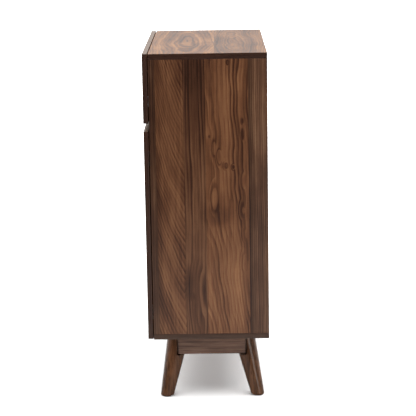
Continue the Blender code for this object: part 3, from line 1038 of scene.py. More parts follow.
@dataclass(frozen=True)
class Board:
    """A flat board with eased edges, its outline carried along one axis.

    Attributes:
        low: Its lowest corner.
        high: Its highest corner.
        along: Axis that the outline is carried along.
        thick: Axis through its thickness.
        ease: Radius of its edges.
        groove: A slot along one face, or None.
        pockets: Round holes in the face on the high side, all at one place across.
    """

    low: Point
    high: Point
    along: Axis
    thick: Axis
    ease: float = 0.0007
    groove: Groove | None = None
    pockets: tuple[Pocket, ...] = ()

    STEPS = 3
    FINE = 8

    @classmethod
    def of_node(cls, node: str, along: Axis, thick: Axis, **extra: object) -> "Board":
        """A board of the size of a CAD node.

        Args:
            node: The node's name.
            along: Axis that the outline is carried along.
            thick: Axis through the thickness.
            **extra: Other fields.

        Returns:
            The board.
        """
        low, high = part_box(node)
        return cls(tuple(low), tuple(high), along, thick, **extra)

    @property
    def across(self) -> int:
        """The third axis."""
        return 3 - self.along - self.thick

    def stations(self) -> tuple[np.ndarray, np.ndarray, np.ndarray]:
        """Rows along the board, each with how far its outline is drawn in and how deep the groove is."""
        first, last = self.low[self.along], self.high[self.along]
        turn = np.linspace(0, np.pi / 2, self.STEPS + 1)
        through = self.groove is not None and self.groove.start <= first
        end_depth = self.groove.depth if through else 0.0
        place = list(first + self.ease * (1 - np.cos(turn)))
        drawn = list(self.ease * (1 - np.sin(turn)))
        deep = [end_depth] * len(turn)
        if self.groove and not through:
            start, stop = max(self.groove.start, place[-1]), min(self.groove.stop, last - self.ease)
            place += [start, start, stop, stop]
            drawn += [0.0] * 4
            deep += [0.0, self.groove.depth, self.groove.depth, 0.0]
        for pocket in sorted(self.pockets, key=lambda hole: hole.along):
            fine = pocket.along + pocket.patch * np.linspace(-1, 1, self.FINE + 1)
            place += list(fine)
            drawn += [0.0] * len(fine)
            deep += [0.0] * len(fine)
        place += list(last - self.ease * (1 - np.cos(turn[::-1])))
        drawn += list(self.ease * (1 - np.sin(turn[::-1])))
        deep += [end_depth] * len(turn)
        return np.array(place), np.array(drawn)[:, None], np.array(deep)[:, None]

    def surface(self, shell: Shell) -> Shell:
        """Adds the board to a shell.

        The outline is a rectangle with quarter circles at its corners. Towards each end it is drawn
        in by ease (1 - sin t) while the row moves out by ease (1 - cos t), which rounds the ends too.

        Args:
            shell: Takes the surface.

        Returns:
            The shell.
        """
        place, drawn, deep = self.stations()
        p0, p1 = self.low[self.across], self.high[self.across]
        q0, q1 = self.low[self.thick], self.high[self.thick]
        turn = np.linspace(0, np.pi / 2, self.STEPS + 1)[None, :]
        reach = self.ease - drawn

        def corner(p: float, q: float, start: float) -> np.ndarray:
            """A quarter circle round a corner's centre, smaller in rows that are drawn in."""
            return np.stack((p + reach * np.cos(turn + start), q + reach * np.sin(turn + start)), axis=-1)

        def strip(marks: Sequence[float], deeps: Sequence[bool], face: float, inward: int) -> np.ndarray:
            """Points on a face: some follow the groove's floor, the others the face."""
            p = np.broadcast_to(np.array(marks), (len(place), len(marks)))
            sunk = np.where(np.array(deeps), np.maximum(deep, drawn), drawn)
            return np.stack((p, face + inward * sunk), axis=-1)

        e = self.ease
        parts = [corner(p0 + e, q0 + e, np.pi), corner(p1 - e, q0 + e, 1.5 * np.pi)]
        tail = [corner(p1 - e, q1 - e, 0.0), corner(p0 + e, q1 - e, 0.5 * np.pi)]
        hole_column = 0
        if self.groove:
            low, high = self.groove.low, self.groove.high
            if self.groove.upper:
                tail.insert(1, strip((high, high, low, low), (False, True, True, False), q1, -1))
            else:
                parts.insert(1, strip((low, low, high, high), (False, True, True, False), q0, 1))
        if self.pockets:
            fine = self.pockets[0].across + self.pockets[0].patch * np.linspace(1, -1, self.FINE + 1)
            hole_column = sum(part.shape[1] for part in parts) + tail[0].shape[1]
            tail.insert(1, strip(fine, [False] * len(fine), q1, -1))
        outline = np.concatenate(parts + tail, axis=1)

        points = np.empty((*outline.shape[:2], 3))
        points[..., self.along] = place[:, None]
        points[..., self.across] = outline[..., 0]
        points[..., self.thick] = outline[..., 1]
        holes = np.zeros((outline.shape[0] - 1, outline.shape[1]), bool)
        for number, pocket in enumerate(sorted(self.pockets, key=lambda hole: hole.along)):
            row = self.STEPS + 1 + number * (self.FINE + 1)
            holes[row:row + self.FINE, hole_column:hole_column + self.FINE] = True
            shell.grid(self.pocket_rings(pocket), caps=False)
        return shell.grid(points, holes=holes)

    def pocket_rings(self, pocket: Pocket) -> np.ndarray:
        """A square that closes to a circle, which then goes down to the floor of the hole.

        Args:
            pocket: The hole.

        Returns:
            Rings of points; the last is the middle of the floor.
        """
        step = np.linspace(-1, 1, self.FINE + 1)[:-1]
        one = np.ones(self.FINE)
        square = np.concatenate((
            np.stack((step, -one), 1), np.stack((one, step), 1),
            np.stack((-step, one), 1), np.stack((-one, -step), 1),
        ))
        circle = square / np.linalg.norm(square, axis=1, keepdims=True) * pocket.radius
        face = self.high[self.thick]
        rings = (
            (square * pocket.patch, 0.0), (circle, 0.0), (circle, pocket.depth), (circle * 0, pocket.depth),
        )
        points = np.empty((len(rings), len(square), 3))
        for row, (flat, depth) in zip(points, rings):
            row[:, self.across] = pocket.across + flat[:, 0]
            row[:, self.along] = pocket.along + flat[:, 1]
            row[:, self.thick] = face - depth
        return points


# ------------------------------------------------------------------------------- finishes in use
SIDE_PLANKS = (
    Plank(edge=-0.30, heart=-0.470, lean=0.01, ring=0.0085, tone=(0.60, 0.63, 0.70), wave=0.25),
    Plank(
        edge=-0.161, heart=0.0, lean=0.14, root=3.00, ring=0.0034, tone=(0.95, 0.91, 0.89),
        seam_shade=0.15, wave=0.12,
    ),
    Plank(edge=-0.071, heart=-0.330, lean=0.04, root=0.2, ring=0.0105, tone=(0.86, 0.85, 0.88), wave=0.30),
    Plank(
        edge=-0.001, heart=-0.050, lean=0.13, root=-0.60, crest=0.64, ring=0.0082,
        tone=(1.34, 1.31, 1.25), wave=0.42,
    ),
    Plank(
        edge=0.1385, heart=0.470, lean=0.02, ring=0.0064, tone=(1.00, 1.11, 1.28),
        seam_shade=0.50, wave=0.20,
    ),
)
# Each mark's place across and along, half width and half length, darkness and pull.
SIDE_MARKS = (
    Mark(0.072, 1.120, 0.005, 0.008, 0.32, 0.007),
    Mark(0.117, 0.930, 0.005, 0.010, 0.32, 0.005),
    Mark(0.118, 0.887, 0.0050, 0.018, 0.50, 0.006),
    Mark(0.012, 0.882, 0.0030, 0.005, 0.45, 0.003),
    Mark(0.024, 0.845, 0.007, 0.026, 0.12, 0.006),
    Mark(0.040, 0.812, 0.008, 0.026, 0.16, 0.008),
    Mark(0.060, 0.785, 0.009, 0.012, 0.34, 0.010),
    Mark(0.086, 0.781, 0.006, 0.009, 0.26, 0.009),
    Mark(0.022, 0.685, 0.012, 0.048, -0.08, 0.009),
    Mark(0.030, 0.622, 0.046, 0.030, 0.15),
    Mark(0.060, 0.640, 0.044, 0.050, 0.12),
    Mark(0.117, 0.735, 0.009, 0.024, 0.08, 0.005),
    Mark(0.111, 0.640, 0.010, 0.027, 0.06, 0.006),
    Mark(0.119, 0.555, 0.009, 0.020, 0.10, 0.005),
    Mark(0.113, 0.470, 0.010, 0.030, 0.07, 0.006),
    Mark(-0.041, 1.085, 0.034, 0.050, 0.15),
    Mark(-0.085, 1.060, 0.012, 0.060, 0.14),
    Mark(-0.040, 0.352, 0.026, 0.095, 0.05, 0.013),
    Mark(-0.052, 0.352, 0.008, 0.014, 0.12, 0.006),
    Mark(0.160, 0.330, 0.040, 0.200, 0.22),
    Mark(-0.155, 0.700, 0.010, 0.500, 0.14),
    Mark(-0.064, 0.400, 0.012, 0.055, 0.30),
    Mark(-0.030, 0.330, 0.032, 0.110, 0.16),
)
TOP_PLANKS = (
    Plank(edge=-0.30, heart=-0.062, lean=0.125, root=-0.03, ring=0.0105, tone=(1.10, 1.10, 0.86), wave=0.55),
    Plank(edge=0.031, heart=0.094, lean=0.110, root=0.04, ring=0.0088, tone=(1.02, 1.04, 0.84), wave=0.60),
)
TOP_MARKS = (
    Mark(-0.062, -0.03, 0.024, 0.160, 0.16, 0.006),
    Mark(-0.115, 0.26, 0.020, 0.090, 0.08, 0.009),
    Mark(0.100, 0.06, 0.020, 0.130, 0.10, 0.008),
    Mark(0.150, -0.22, 0.014, 0.100, 0.08, 0.006),
    Mark(0.005, 0.05, 0.026, 0.240, -0.08),
)
MATT = {"index": 1.03, "rough": 0.75}
RAIL_LIGHT, RAIL_DARK = (0.168, 0.096, 0.066), (0.062, 0.033, 0.0225)


def front_veneer(name: str, side: Side, layout: int, seed: float, **lacquer: float) -> WalnutVeneer:
    """Veneer of the drawer front and the door of one half, its grain upright.

    Args:
        name: Name of the material.
        side: Which half of the cabinet.
        layout: Which layout of strips is drawn.
        seed: Shifts the noises.
        **lacquer: Refractive index and roughness, where they aren't the usual ones.

    Returns:
        The veneer.
    """
    low, high = sorted((0.0, 0.4 * side.value))
    return WalnutVeneer(name, Axis.WIDTH, Axis.HEIGHT, mixed_planks(low, high, layout), seed=seed, **lacquer)


EDGE_UPRIGHT_SIDE = EdgeBand("edge_band_of_sides", Axis.WIDTH, **MATT)
EDGE_FLAT = EdgeBand("edge_band_of_flat_boards", Axis.HEIGHT)
EDGE_TOP = EdgeBand("edge_band_of_top", Axis.HEIGHT, (0.050, 0.022, 0.013), (0.018, 0.0078, 0.0052))
EDGE_FRONT = EdgeBand("edge_band_of_fronts", Axis.DEPTH, (0.050, 0.023, 0.0145), (0.019, 0.0088, 0.0062))
# Painted sheen: a much paler band on the fronts' top and bottom edges, standing in for the sheen that the
# bright light lays on these flat edges.
PAINTED_SHEEN_FRONT_ENDS = EdgeBand(
    "edge_band_of_front_ends", Axis.DEPTH, (0.125, 0.088, 0.064), (0.070, 0.046, 0.033),
)
# Both sides carry painted light: paler towards the floor, standing in for light bounced off it.
SIDE_VENEER = {
    Side.RIGHT: WalnutVeneer(
        "walnut_right_side", Axis.DEPTH, Axis.HEIGHT, SIDE_PLANKS, SIDE_MARKS, fade=0.22, face=0.4,
    ),
    Side.LEFT: WalnutVeneer(
        "walnut_left_side", Axis.DEPTH, Axis.HEIGHT, mixed_planks(-0.19, 0.20, 11), seed=4.3, fade=0.12,
    ),
}
FRONT_VENEER = {
    Side.RIGHT: front_veneer("walnut_right_fronts", Side.RIGHT, 5, 7.1),
    Side.LEFT: front_veneer("walnut_left_fronts", Side.LEFT, 6, 9.9),
}
FRONT_INSIDE = {
    Side.RIGHT: front_veneer("matt_walnut_right_fronts", Side.RIGHT, 15, 1.7, **MATT),
    Side.LEFT: front_veneer("matt_walnut_left_fronts", Side.LEFT, 16, 6.3, **MATT),
}
FLAT_VENEER = WalnutVeneer(
    "walnut_flat_boards", Axis.DEPTH, Axis.WIDTH, mixed_planks(-0.19, 0.2, 21), seed=2.2,
)
TOP_VENEER = WalnutVeneer("walnut_top", Axis.DEPTH, Axis.WIDTH, TOP_PLANKS, TOP_MARKS, seed=3.1, face=1.15)
INNER_VENEER = WalnutVeneer(
    "walnut_partitions", Axis.DEPTH, Axis.HEIGHT, mixed_planks(-0.19, 0.2, 31), seed=5.4,
)
BACK_FOIL = PrintedBoard(
    "back_panel_foil", Axis.HEIGHT, (0.072, 0.038, 0.023), (0.036, 0.0185, 0.0115), Slot.LINING,
)
DRAWER_FOIL = PrintedBoard(
    "drawer_foil", Axis.DEPTH, (0.170, 0.100, 0.062), (0.095, 0.052, 0.031), Slot.DRAWER,
)
LEG_STAIN = StainedWood("leg_stain", Axis.HEIGHT)
SIDE_RAIL_STAIN = StainedWood("side_rail_stain", Axis.DEPTH, RAIL_LIGHT, RAIL_DARK)
LONG_RAIL_STAIN = StainedWood("long_rail_stain", Axis.WIDTH, RAIL_LIGHT, RAIL_DARK)
ZINC = PlatedSteel("zinc_plate", (0.34, 0.345, 0.355), (0.25, 0.255, 0.265), 0.36, Slot.RUNNER)
CAGE_METAL = PlatedSteel("cage_metal", (0.50, 0.50, 0.50), (0.38, 0.38, 0.38), 0.40, Slot.CAGE)
BALL_METAL = PlatedSteel("ball_metal", (0.80, 0.80, 0.81), (0.70, 0.70, 0.71), 0.14, Slot.CAGE)
BLACK_NICKEL = PlatedSteel(
    "black_nickel_plate", (0.080, 0.074, 0.067), (0.050, 0.046, 0.041), 0.36, Slot.HINGE,
)
GLIDE_BLACK = MouldedPlastic("glide_black", (0.035, 0.033, 0.032), (0.016, 0.015, 0.015), 0.60, Slot.GLIDE)
BUFFER_GREY = MouldedPlastic("buffer_grey", (0.42, 0.42, 0.41), (0.33, 0.33, 0.32), 0.50, Slot.GLIDE)
# Start and stop of a groove that runs through the whole board, both past its ends.
THROUGH = (-1.0, 9.0)


def place_board(
    name: str, node: str, board: Board, finishes: Sequence[Finish], body: str
) -> bpy.types.Object:
    """Builds one board in place of its CAD node.

    Args:
        name: Name of the piece.
        node: CAD node that it replaces.
        board: Its shape.
        finishes: Its finishes, in the order that Shell.build gives.
        body: Body it moves with.

    Returns:
        The piece.
    """
    return board.surface(Shell()).build(name, finishes, body, (node,), board.thick)


# ------------------------------------------------------------------------------- case
@dataclass
class Case:
    """Top, bottom, sides, partitions, drawer deck, back panel, shelves and their pins.

    Attributes:
        play: Play of the back panel in its grooves.
        sheet_ease: Radius of the edges of the back sheet and of the strip behind the doors.
        pin_radius: Radius of a shelf pin.
        pin_reach: How far a pin stands out from the board that it is in.
        pin_hold: How far it goes into that board.
        pin_inset: From a shelf's front and back edges to its pins.
        pin_chamfer: Length of the bevel on its tip.
        collar_radius: Radius of its collar.
        collar_thick: Thickness of the collar.
        collar_air: Air between the collar and the shelf, and the height of its bevels.
        strip_half: Half the length of the strip behind the doors' lower edges.
        strip_high: Its height.
        strip_air: Air between the strip and the closed doors.
    """

    play: float = 0.0003
    sheet_ease: float = 0.0004
    pin_radius: float = 0.0025
    pin_reach: float = 0.0085
    pin_hold: float = 0.0060
    pin_inset: float = 0.037
    pin_chamfer: float = 0.0010
    collar_radius: float = 0.00475
    collar_thick: float = 0.0011
    collar_air: float = 0.0002
    strip_half: float = 0.3911
    strip_high: float = 0.016
    strip_air: float = 0.0004

    def caps(self) -> None:
        """Top and bottom boards, each with a stopped groove for the back panel."""
        low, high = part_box("back_panel")
        for word, upper in (("top", False), ("bottom", True)):
            node = f"{word}_panel"
            bottom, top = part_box(node)
            depth = top.z - low.z if upper else high.z - bottom.z
            groove = Groove(
                low.y - self.play, high.y + self.play, depth + self.play,
                low.x - self.play, high.x + self.play, upper,
            )
            board = Board.of_node(node, Axis.WIDTH, Axis.HEIGHT, groove=groove)
            finishes = (FLAT_VENEER, EDGE_FLAT) if upper else (TOP_VENEER, EDGE_TOP)
            place_board(f"{word}_board", node, board, finishes, "cabinet")

    def cheeks(self) -> None:
        """The two side boards, grooved from end to end for the back panel."""
        low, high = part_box("back_panel")
        for side in Side:
            node = f"{side.word}_side_panel"
            inner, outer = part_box(node)
            left = side is Side.LEFT
            depth = outer.x - low.x if left else high.x - inner.x
            groove = Groove(low.y - self.play, high.y + self.play, depth + self.play, *THROUGH, left)
            board = Board.of_node(node, Axis.HEIGHT, Axis.WIDTH, groove=groove)
            finishes = (SIDE_VENEER[side], EDGE_UPRIGHT_SIDE)
            place_board(f"{side.word}_side_board", node, board, finishes, "cabinet")

    def inside(self) -> None:
        """Partitions, drawer deck, shelves and back panel."""
        for node in ("centre_partition", "drawer_partition"):
            board = Board.of_node(node, Axis.HEIGHT, Axis.WIDTH)
            place_board(f"{node}_board", node, board, (INNER_VENEER, EDGE_UPRIGHT_SIDE), "cabinet")
        shelves = [f"{side.word}_shelf_{number}" for side in Side for number in (1, 2, 3)]
        for node in ("drawer_deck", *shelves):
            board = Board.of_node(node, Axis.WIDTH, Axis.HEIGHT)
            place_board(f"{node}_board", node, board, (FLAT_VENEER, EDGE_FLAT), "cabinet")
        board = Board.of_node("back_panel", Axis.HEIGHT, Axis.DEPTH, ease=self.sheet_ease)
        place_board("back_sheet", "back_panel", board, (BACK_FOIL,), "cabinet")

    def shelf_pins(self, side: Side) -> None:
        """Four steel pins under each shelf of one half, each a rounded pin behind a flat collar.

        Args:
            side: Which half of the cabinet.
        """
        shell = Shell()
        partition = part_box("centre_partition")[1].x
        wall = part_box("right_side_panel")[0].x
        r, reach, hold = self.pin_radius, self.pin_reach, self.pin_hold
        profile = (
            (0, -hold), (r, -hold), (r, 0), (self.collar_radius, self.collar_air),
            (self.collar_radius, self.collar_thick), (r, self.collar_thick + self.collar_air),
            (r, reach - self.pin_chamfer), (r * 0.7, reach), (0, reach),
        )
        for number in (1, 2, 3):
            low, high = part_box(f"{side.word}_shelf_{number}")
            level = low.z - self.collar_radius - self.collar_air
            for start, way in ((wall, -1), (partition, 1)):
                turned = [(radius, side.value * way * out) for radius, out in profile]
                for depth in (low.y + self.pin_inset, high.y - self.pin_inset):
                    ring = lathe(turned, (side.value * start, depth, level), Axis.WIDTH, 16)
                    shell.grid(ring, caps=False)
        shell.build(f"{side.word}_shelf_pins", (BLACK_NICKEL,), "cabinet")

    def shade_strip(self) -> None:
        """A soft dark strip on the bottom board's front edge, which closes the slit behind the doors:
        painted shade, so that the slit shows dark.
        """
        case_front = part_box("right_side_panel")[0].y
        doors_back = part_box("right_door")[1].y
        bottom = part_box("bottom_panel")[0].z
        low = (-self.strip_half, doors_back + self.strip_air, bottom + self.strip_air)
        high = (self.strip_half, case_front - self.strip_air / 2, bottom + self.strip_high)
        shell = Shell()
        Board(low, high, Axis.WIDTH, Axis.DEPTH, ease=self.sheet_ease).surface(shell)
        shell.build("shade_strip", (GLIDE_BLACK,), "cabinet")

    def build(self) -> None:
        """Builds the whole case."""
        self.shade_strip()
        self.caps()
        self.cheeks()
        self.inside()
        for side in Side:
            self.shelf_pins(side)


# ------------------------------------------------------------------------------- base
@dataclass
class Leg:
    """A round tapered leg, splayed both ways, with a seat for the end of each rail.

    Attributes:
        side: Left or right.
        end: Front or rear.
        top_inset: Axis in from the case edges, at the case.
        foot_inset: Axis in from the case edges, at the floor.
        rear_lean: Extra lean of a rear leg along the depth.
        top_radius: Radius at the case.
        foot_radius: Radius at the floor.
        end_play: Play at a rail's end.
        foot_play: Play under a rail.
        fillet: Radius in the seat's inner corner.
        ease: Rounding at the foot.
        seam: Air between a seat's wall and the inner face of its rail.
    """

    side: Side
    end: End
    top_inset: float = 0.0809
    foot_inset: float = 0.0384
    rear_lean: float = 0.0035
    top_radius: float = 0.0377
    foot_radius: float = 0.0222
    end_play: float = 0.0040
    foot_play: float = 0.0030
    fillet: float = 0.0050
    ease: float = 0.0018
    seam: float = 0.0003

    def rings(self) -> np.ndarray:
        """Rings of points, each drawn round a centre in the corner of the two seats.

        With A outwards along X and B outwards along Y, a ring at height h lies at distance
        t = -e.d + sqrt((e.d)^2 - e.e + R^2) from its centre c along direction d, where e = c - axis
        and R is the leg's radius at h. Beside a seat t is cut to the seat's wall.

        Returns:
            Rows of points from the foot to the top.
        """
        low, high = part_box(f"{self.end.word}_{self.side.word}_leg")
        case_low, case_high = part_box("bottom_panel")
        rail_low, rail_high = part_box("right_rail")
        long_low, long_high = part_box("rear_rail")
        middle = (case_low.y + case_high.y) / 2
        half_width, half_depth = case_high.x, case_high.y - middle
        full = case_low.z
        seat_floor = rail_low.z - self.foot_play
        wall = np.array((rail_low.x - self.seam, long_low.y - middle - self.seam))
        stop = np.array((long_high.x + self.end_play, rail_high.y - middle + self.end_play))

        turn = np.linspace(0, np.pi / 2, 5)
        foot = low.z + self.ease * (1 - np.cos(turn))
        body = np.linspace(foot[-1] + 0.004, seat_floor, 22)
        bow = seat_floor + self.fillet * (1 - np.cos(turn))
        upper = np.linspace(seat_floor + self.fillet + 0.006, high.z, 10)
        height = np.concatenate((foot, body, bow, upper))
        seated = np.arange(len(height)) >= len(foot) + len(body)
        drawn = np.zeros(len(height))
        drawn[:len(foot)] = self.ease * (1 - np.sin(turn))

        share = height / full
        inset = self.foot_inset + (self.top_inset - self.foot_inset) * share
        lean = self.rear_lean * share if self.end is End.REAR else 0.0 * share
        axis = np.stack((half_width - inset, half_depth - inset - lean), axis=1)
        radius = self.foot_radius + (self.top_radius - self.foot_radius) * share - drawn
        rise = np.clip(height - seat_floor, 0, self.fillet)
        bulge = self.fillet - np.sqrt(self.fillet ** 2 - (self.fillet - rise) ** 2)
        corner = stop[None, :] - bulge[:, None]
        first = len(foot) + len(body) - 1
        down = np.clip(height / seat_floor, 0, 1)[:, None]
        centre = np.where(seated[:, None], corner, axis + (corner[first] - axis[first]) * down)

        def break_angle(line: int) -> np.ndarray:
            """Where a seat's wall leaves the leg, as an angle round the centre."""
            span = np.sqrt(np.clip(radius ** 2 - (wall[line] - axis[:, line]) ** 2, 1e-8, None))
            other = axis[:, 1 - line] - span - centre[:, 1 - line]
            off = wall[line] - centre[:, line]
            return np.arctan2(other, off)

        # Below the seats the spans change at this angle, as no wall is there to do it.
        unseated, quarter = 1.1, np.pi / 2
        side_break = np.where(seated, break_angle(0), -unseated)
        long_break = np.where(seated, quarter - break_angle(1), quarter + unseated)
        flat = np.zeros(len(height))
        stops = [flat + stop for stop in (-np.pi, -quarter, side_break, 0, quarter, long_break, np.pi)]
        # Points of each span, whether its last angle is drawn too, and the wall that it is cut to.
        free, side_wall, long_wall = 0, 1, 2
        spans = (
            (20, False, free), (8, False, side_wall), (12, True, side_wall),
            (26, True, free), (12, False, long_wall), (28, False, long_wall),
        )
        angles: list[np.ndarray] = []
        cuts: list[int] = []
        for (count, closed, cut), start, end in zip(spans, stops, stops[1:]):
            step = np.linspace(0, 1, count + closed, endpoint=closed)
            angles.append(start[:, None] * (1 - step) + end[:, None] * step)
            cuts += [cut] * len(step)
        angle = np.concatenate(angles, axis=1)
        walled = np.array(cuts)[None, :]

        way = np.stack((np.cos(angle), np.sin(angle)), axis=-1)
        offset = (centre - axis)[:, None, :]
        along = (way * offset).sum(-1)
        reach = -along + np.sqrt(np.maximum(along ** 2 - (offset ** 2).sum(-1) + radius[:, None] ** 2, 0))
        limit = (wall[None, :] - centre)
        with np.errstate(divide="ignore", invalid="ignore"):
            side_limit = limit[:, 0, None] / np.maximum(way[..., 0], 1e-6)
            long_limit = limit[:, 1, None] / np.maximum(way[..., 1], 1e-6)
        row = seated[:, None]
        reach = np.where(row & (walled == side_wall), np.minimum(reach, side_limit), reach)
        reach = np.where(row & (walled == long_wall), np.minimum(reach, long_limit), reach)
        flat_points = centre[:, None, :] + way * reach[..., None]

        points = np.empty((*angle.shape, 3))
        points[..., 0] = self.side.value * flat_points[..., 0]
        points[..., 1] = middle + self.end.value * flat_points[..., 1]
        points[..., 2] = height[:, None]
        return points

    def build(self) -> None:
        """Builds the leg."""
        name = f"{self.end.word}_{self.side.word}"
        shell = Shell().grid(self.rings())
        shell.build(f"{name}_turned_leg", (LEG_STAIN,), "cabinet", (f"{name}_leg",))


@dataclass
class Base:
    """Legs, rails and glides.

    Attributes:
        rail_ease: Radius of the rails' edges.
        glide_ease: Rounding of the glides.
    """

    rail_ease: float = 0.0014
    glide_ease: float = 0.0008

    def glide(self, side: Side, end: End) -> None:
        """A plastic disc under a leg, its rim rounded.

        Args:
            side: Left or right.
            end: Front or rear.
        """
        node = f"{end.word}_{side.word}_glide"
        low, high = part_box(node)
        r, e, t = (high.x - low.x) / 2, self.glide_ease, high.z - low.z
        profile = (
            (0, 0), (r - e, 0), (r - 0.3 * e, 0.3 * e), (r, e), (r, t - 0.5 * e), (r - 0.5 * e, t), (0, t),
        )
        centre = ((low.x + high.x) / 2, (low.y + high.y) / 2, low.z)
        ring = lathe(profile, centre, Axis.HEIGHT, 40)
        Shell().grid(ring, caps=False).build(f"{node}_disc", (GLIDE_BLACK,), "cabinet", (node,))

    def build(self) -> None:
        """Builds the base."""
        for side in Side:
            board = Board.of_node(f"{side.word}_rail", Axis.DEPTH, Axis.WIDTH, ease=self.rail_ease)
            place_board(f"{side.word}_side_rail", f"{side.word}_rail", board, (SIDE_RAIL_STAIN,), "cabinet")
        for end in End:
            board = Board.of_node(f"{end.word}_rail", Axis.WIDTH, Axis.DEPTH, ease=self.rail_ease)
            place_board(f"{end.word}_long_rail", f"{end.word}_rail", board, (LONG_RAIL_STAIN,), "cabinet")
            for side in Side:
                Leg(side, end).build()
                self.glide(side, end)


# ------------------------------------------------------------------------------- drawers
def channel(
    web: float, tip: float, middle: float, half: float, span: tuple[float, float], plate: float, bend: float
) -> np.ndarray:
    """A bent steel channel: a C outline with round bends, carried along Y.

    Args:
        web: X of the channel's back.
        tip: X of the tips of its flanges.
        middle: Height of its middle.
        half: Half its height.
        span: Where it starts and stops along Y.
        plate: Thickness of the steel.
        bend: Outer radius of the bends.

    Returns:
        Rows of points.
    """
    way = 1.0 if tip > web else -1.0
    reach = abs(tip - web)
    turn = np.linspace(0, np.pi / 2, 5)
    small = bend - plate
    outer = np.stack((bend - bend * np.sin(turn), half - bend + bend * np.cos(turn)), 1)
    inner = np.stack((bend - small * np.sin(turn), half - bend + small * np.cos(turn)), 1)
    lip = plate * 0.3
    upper = np.concatenate((
        [(reach - lip, half)], outer, outer[::-1] * (1, -1), [(reach - lip, -half), (reach, -half + lip)],
        [(reach, -half + plate - lip), (reach - lip, -half + plate)], inner * (1, -1), inner[::-1],
        [(reach - lip, half - plate), (reach, half - plate + lip), (reach, half - lip)],
    ))
    points = np.empty((2, len(upper), 3))
    points[..., 0] = web + way * upper[:, 0]
    points[..., 1] = np.array(span)[:, None]
    points[..., 2] = middle + upper[:, 1]
    return points


@dataclass(frozen=True)
class SoftDots:
    """Two soft dots behind a drawer front or a door, where it meets the case.

    Attributes:
        panel: CAD node of the front or the door.
        side: Which half of the cabinet it is in.
        lower: From the panel's lower edge up to the lower dot.
        upper: From its upper edge down to the upper dot.
        radius: Radius of a dot.
        inset: From the cabinet's middle to the dots.
        air: Air behind the panel and before the case.
    """

    panel: str
    side: Side
    lower: float
    upper: float
    radius: float = 0.0030
    inset: float = 0.0048
    air: float = 0.0001

    def profile(self, thick: float) -> list[tuple[float, float]]:
        """A low dome with a straight rim, as radius and level of each ring.

        Args:
            thick: Height of the dome.

        Returns:
            The rings, from the middle of its back to the top of the dome.
        """
        turn = np.linspace(0, np.pi / 2, 6)
        dome = [(self.radius * math.cos(t), thick * (0.55 + 0.45 * math.sin(t))) for t in turn]
        return [(0.0, 0.0), (self.radius, 0.0), *dome]

    def build(self, name: str, body: str) -> None:
        """Builds both dots as one piece.

        Args:
            name: Name of the piece.
            body: Body it moves with.
        """
        low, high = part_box(self.panel)
        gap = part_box("right_side_panel")[0].y - high.y
        profile = self.profile(gap - 2 * self.air)
        shell = Shell()
        for level in (low.z + self.lower, high.z - self.upper):
            centre = (self.side.value * self.inset, high.y + self.air, level)
            shell.grid(lathe(profile, centre, Axis.DEPTH, 20), caps=False)
        shell.build(name, (BUFFER_GREY,), body)


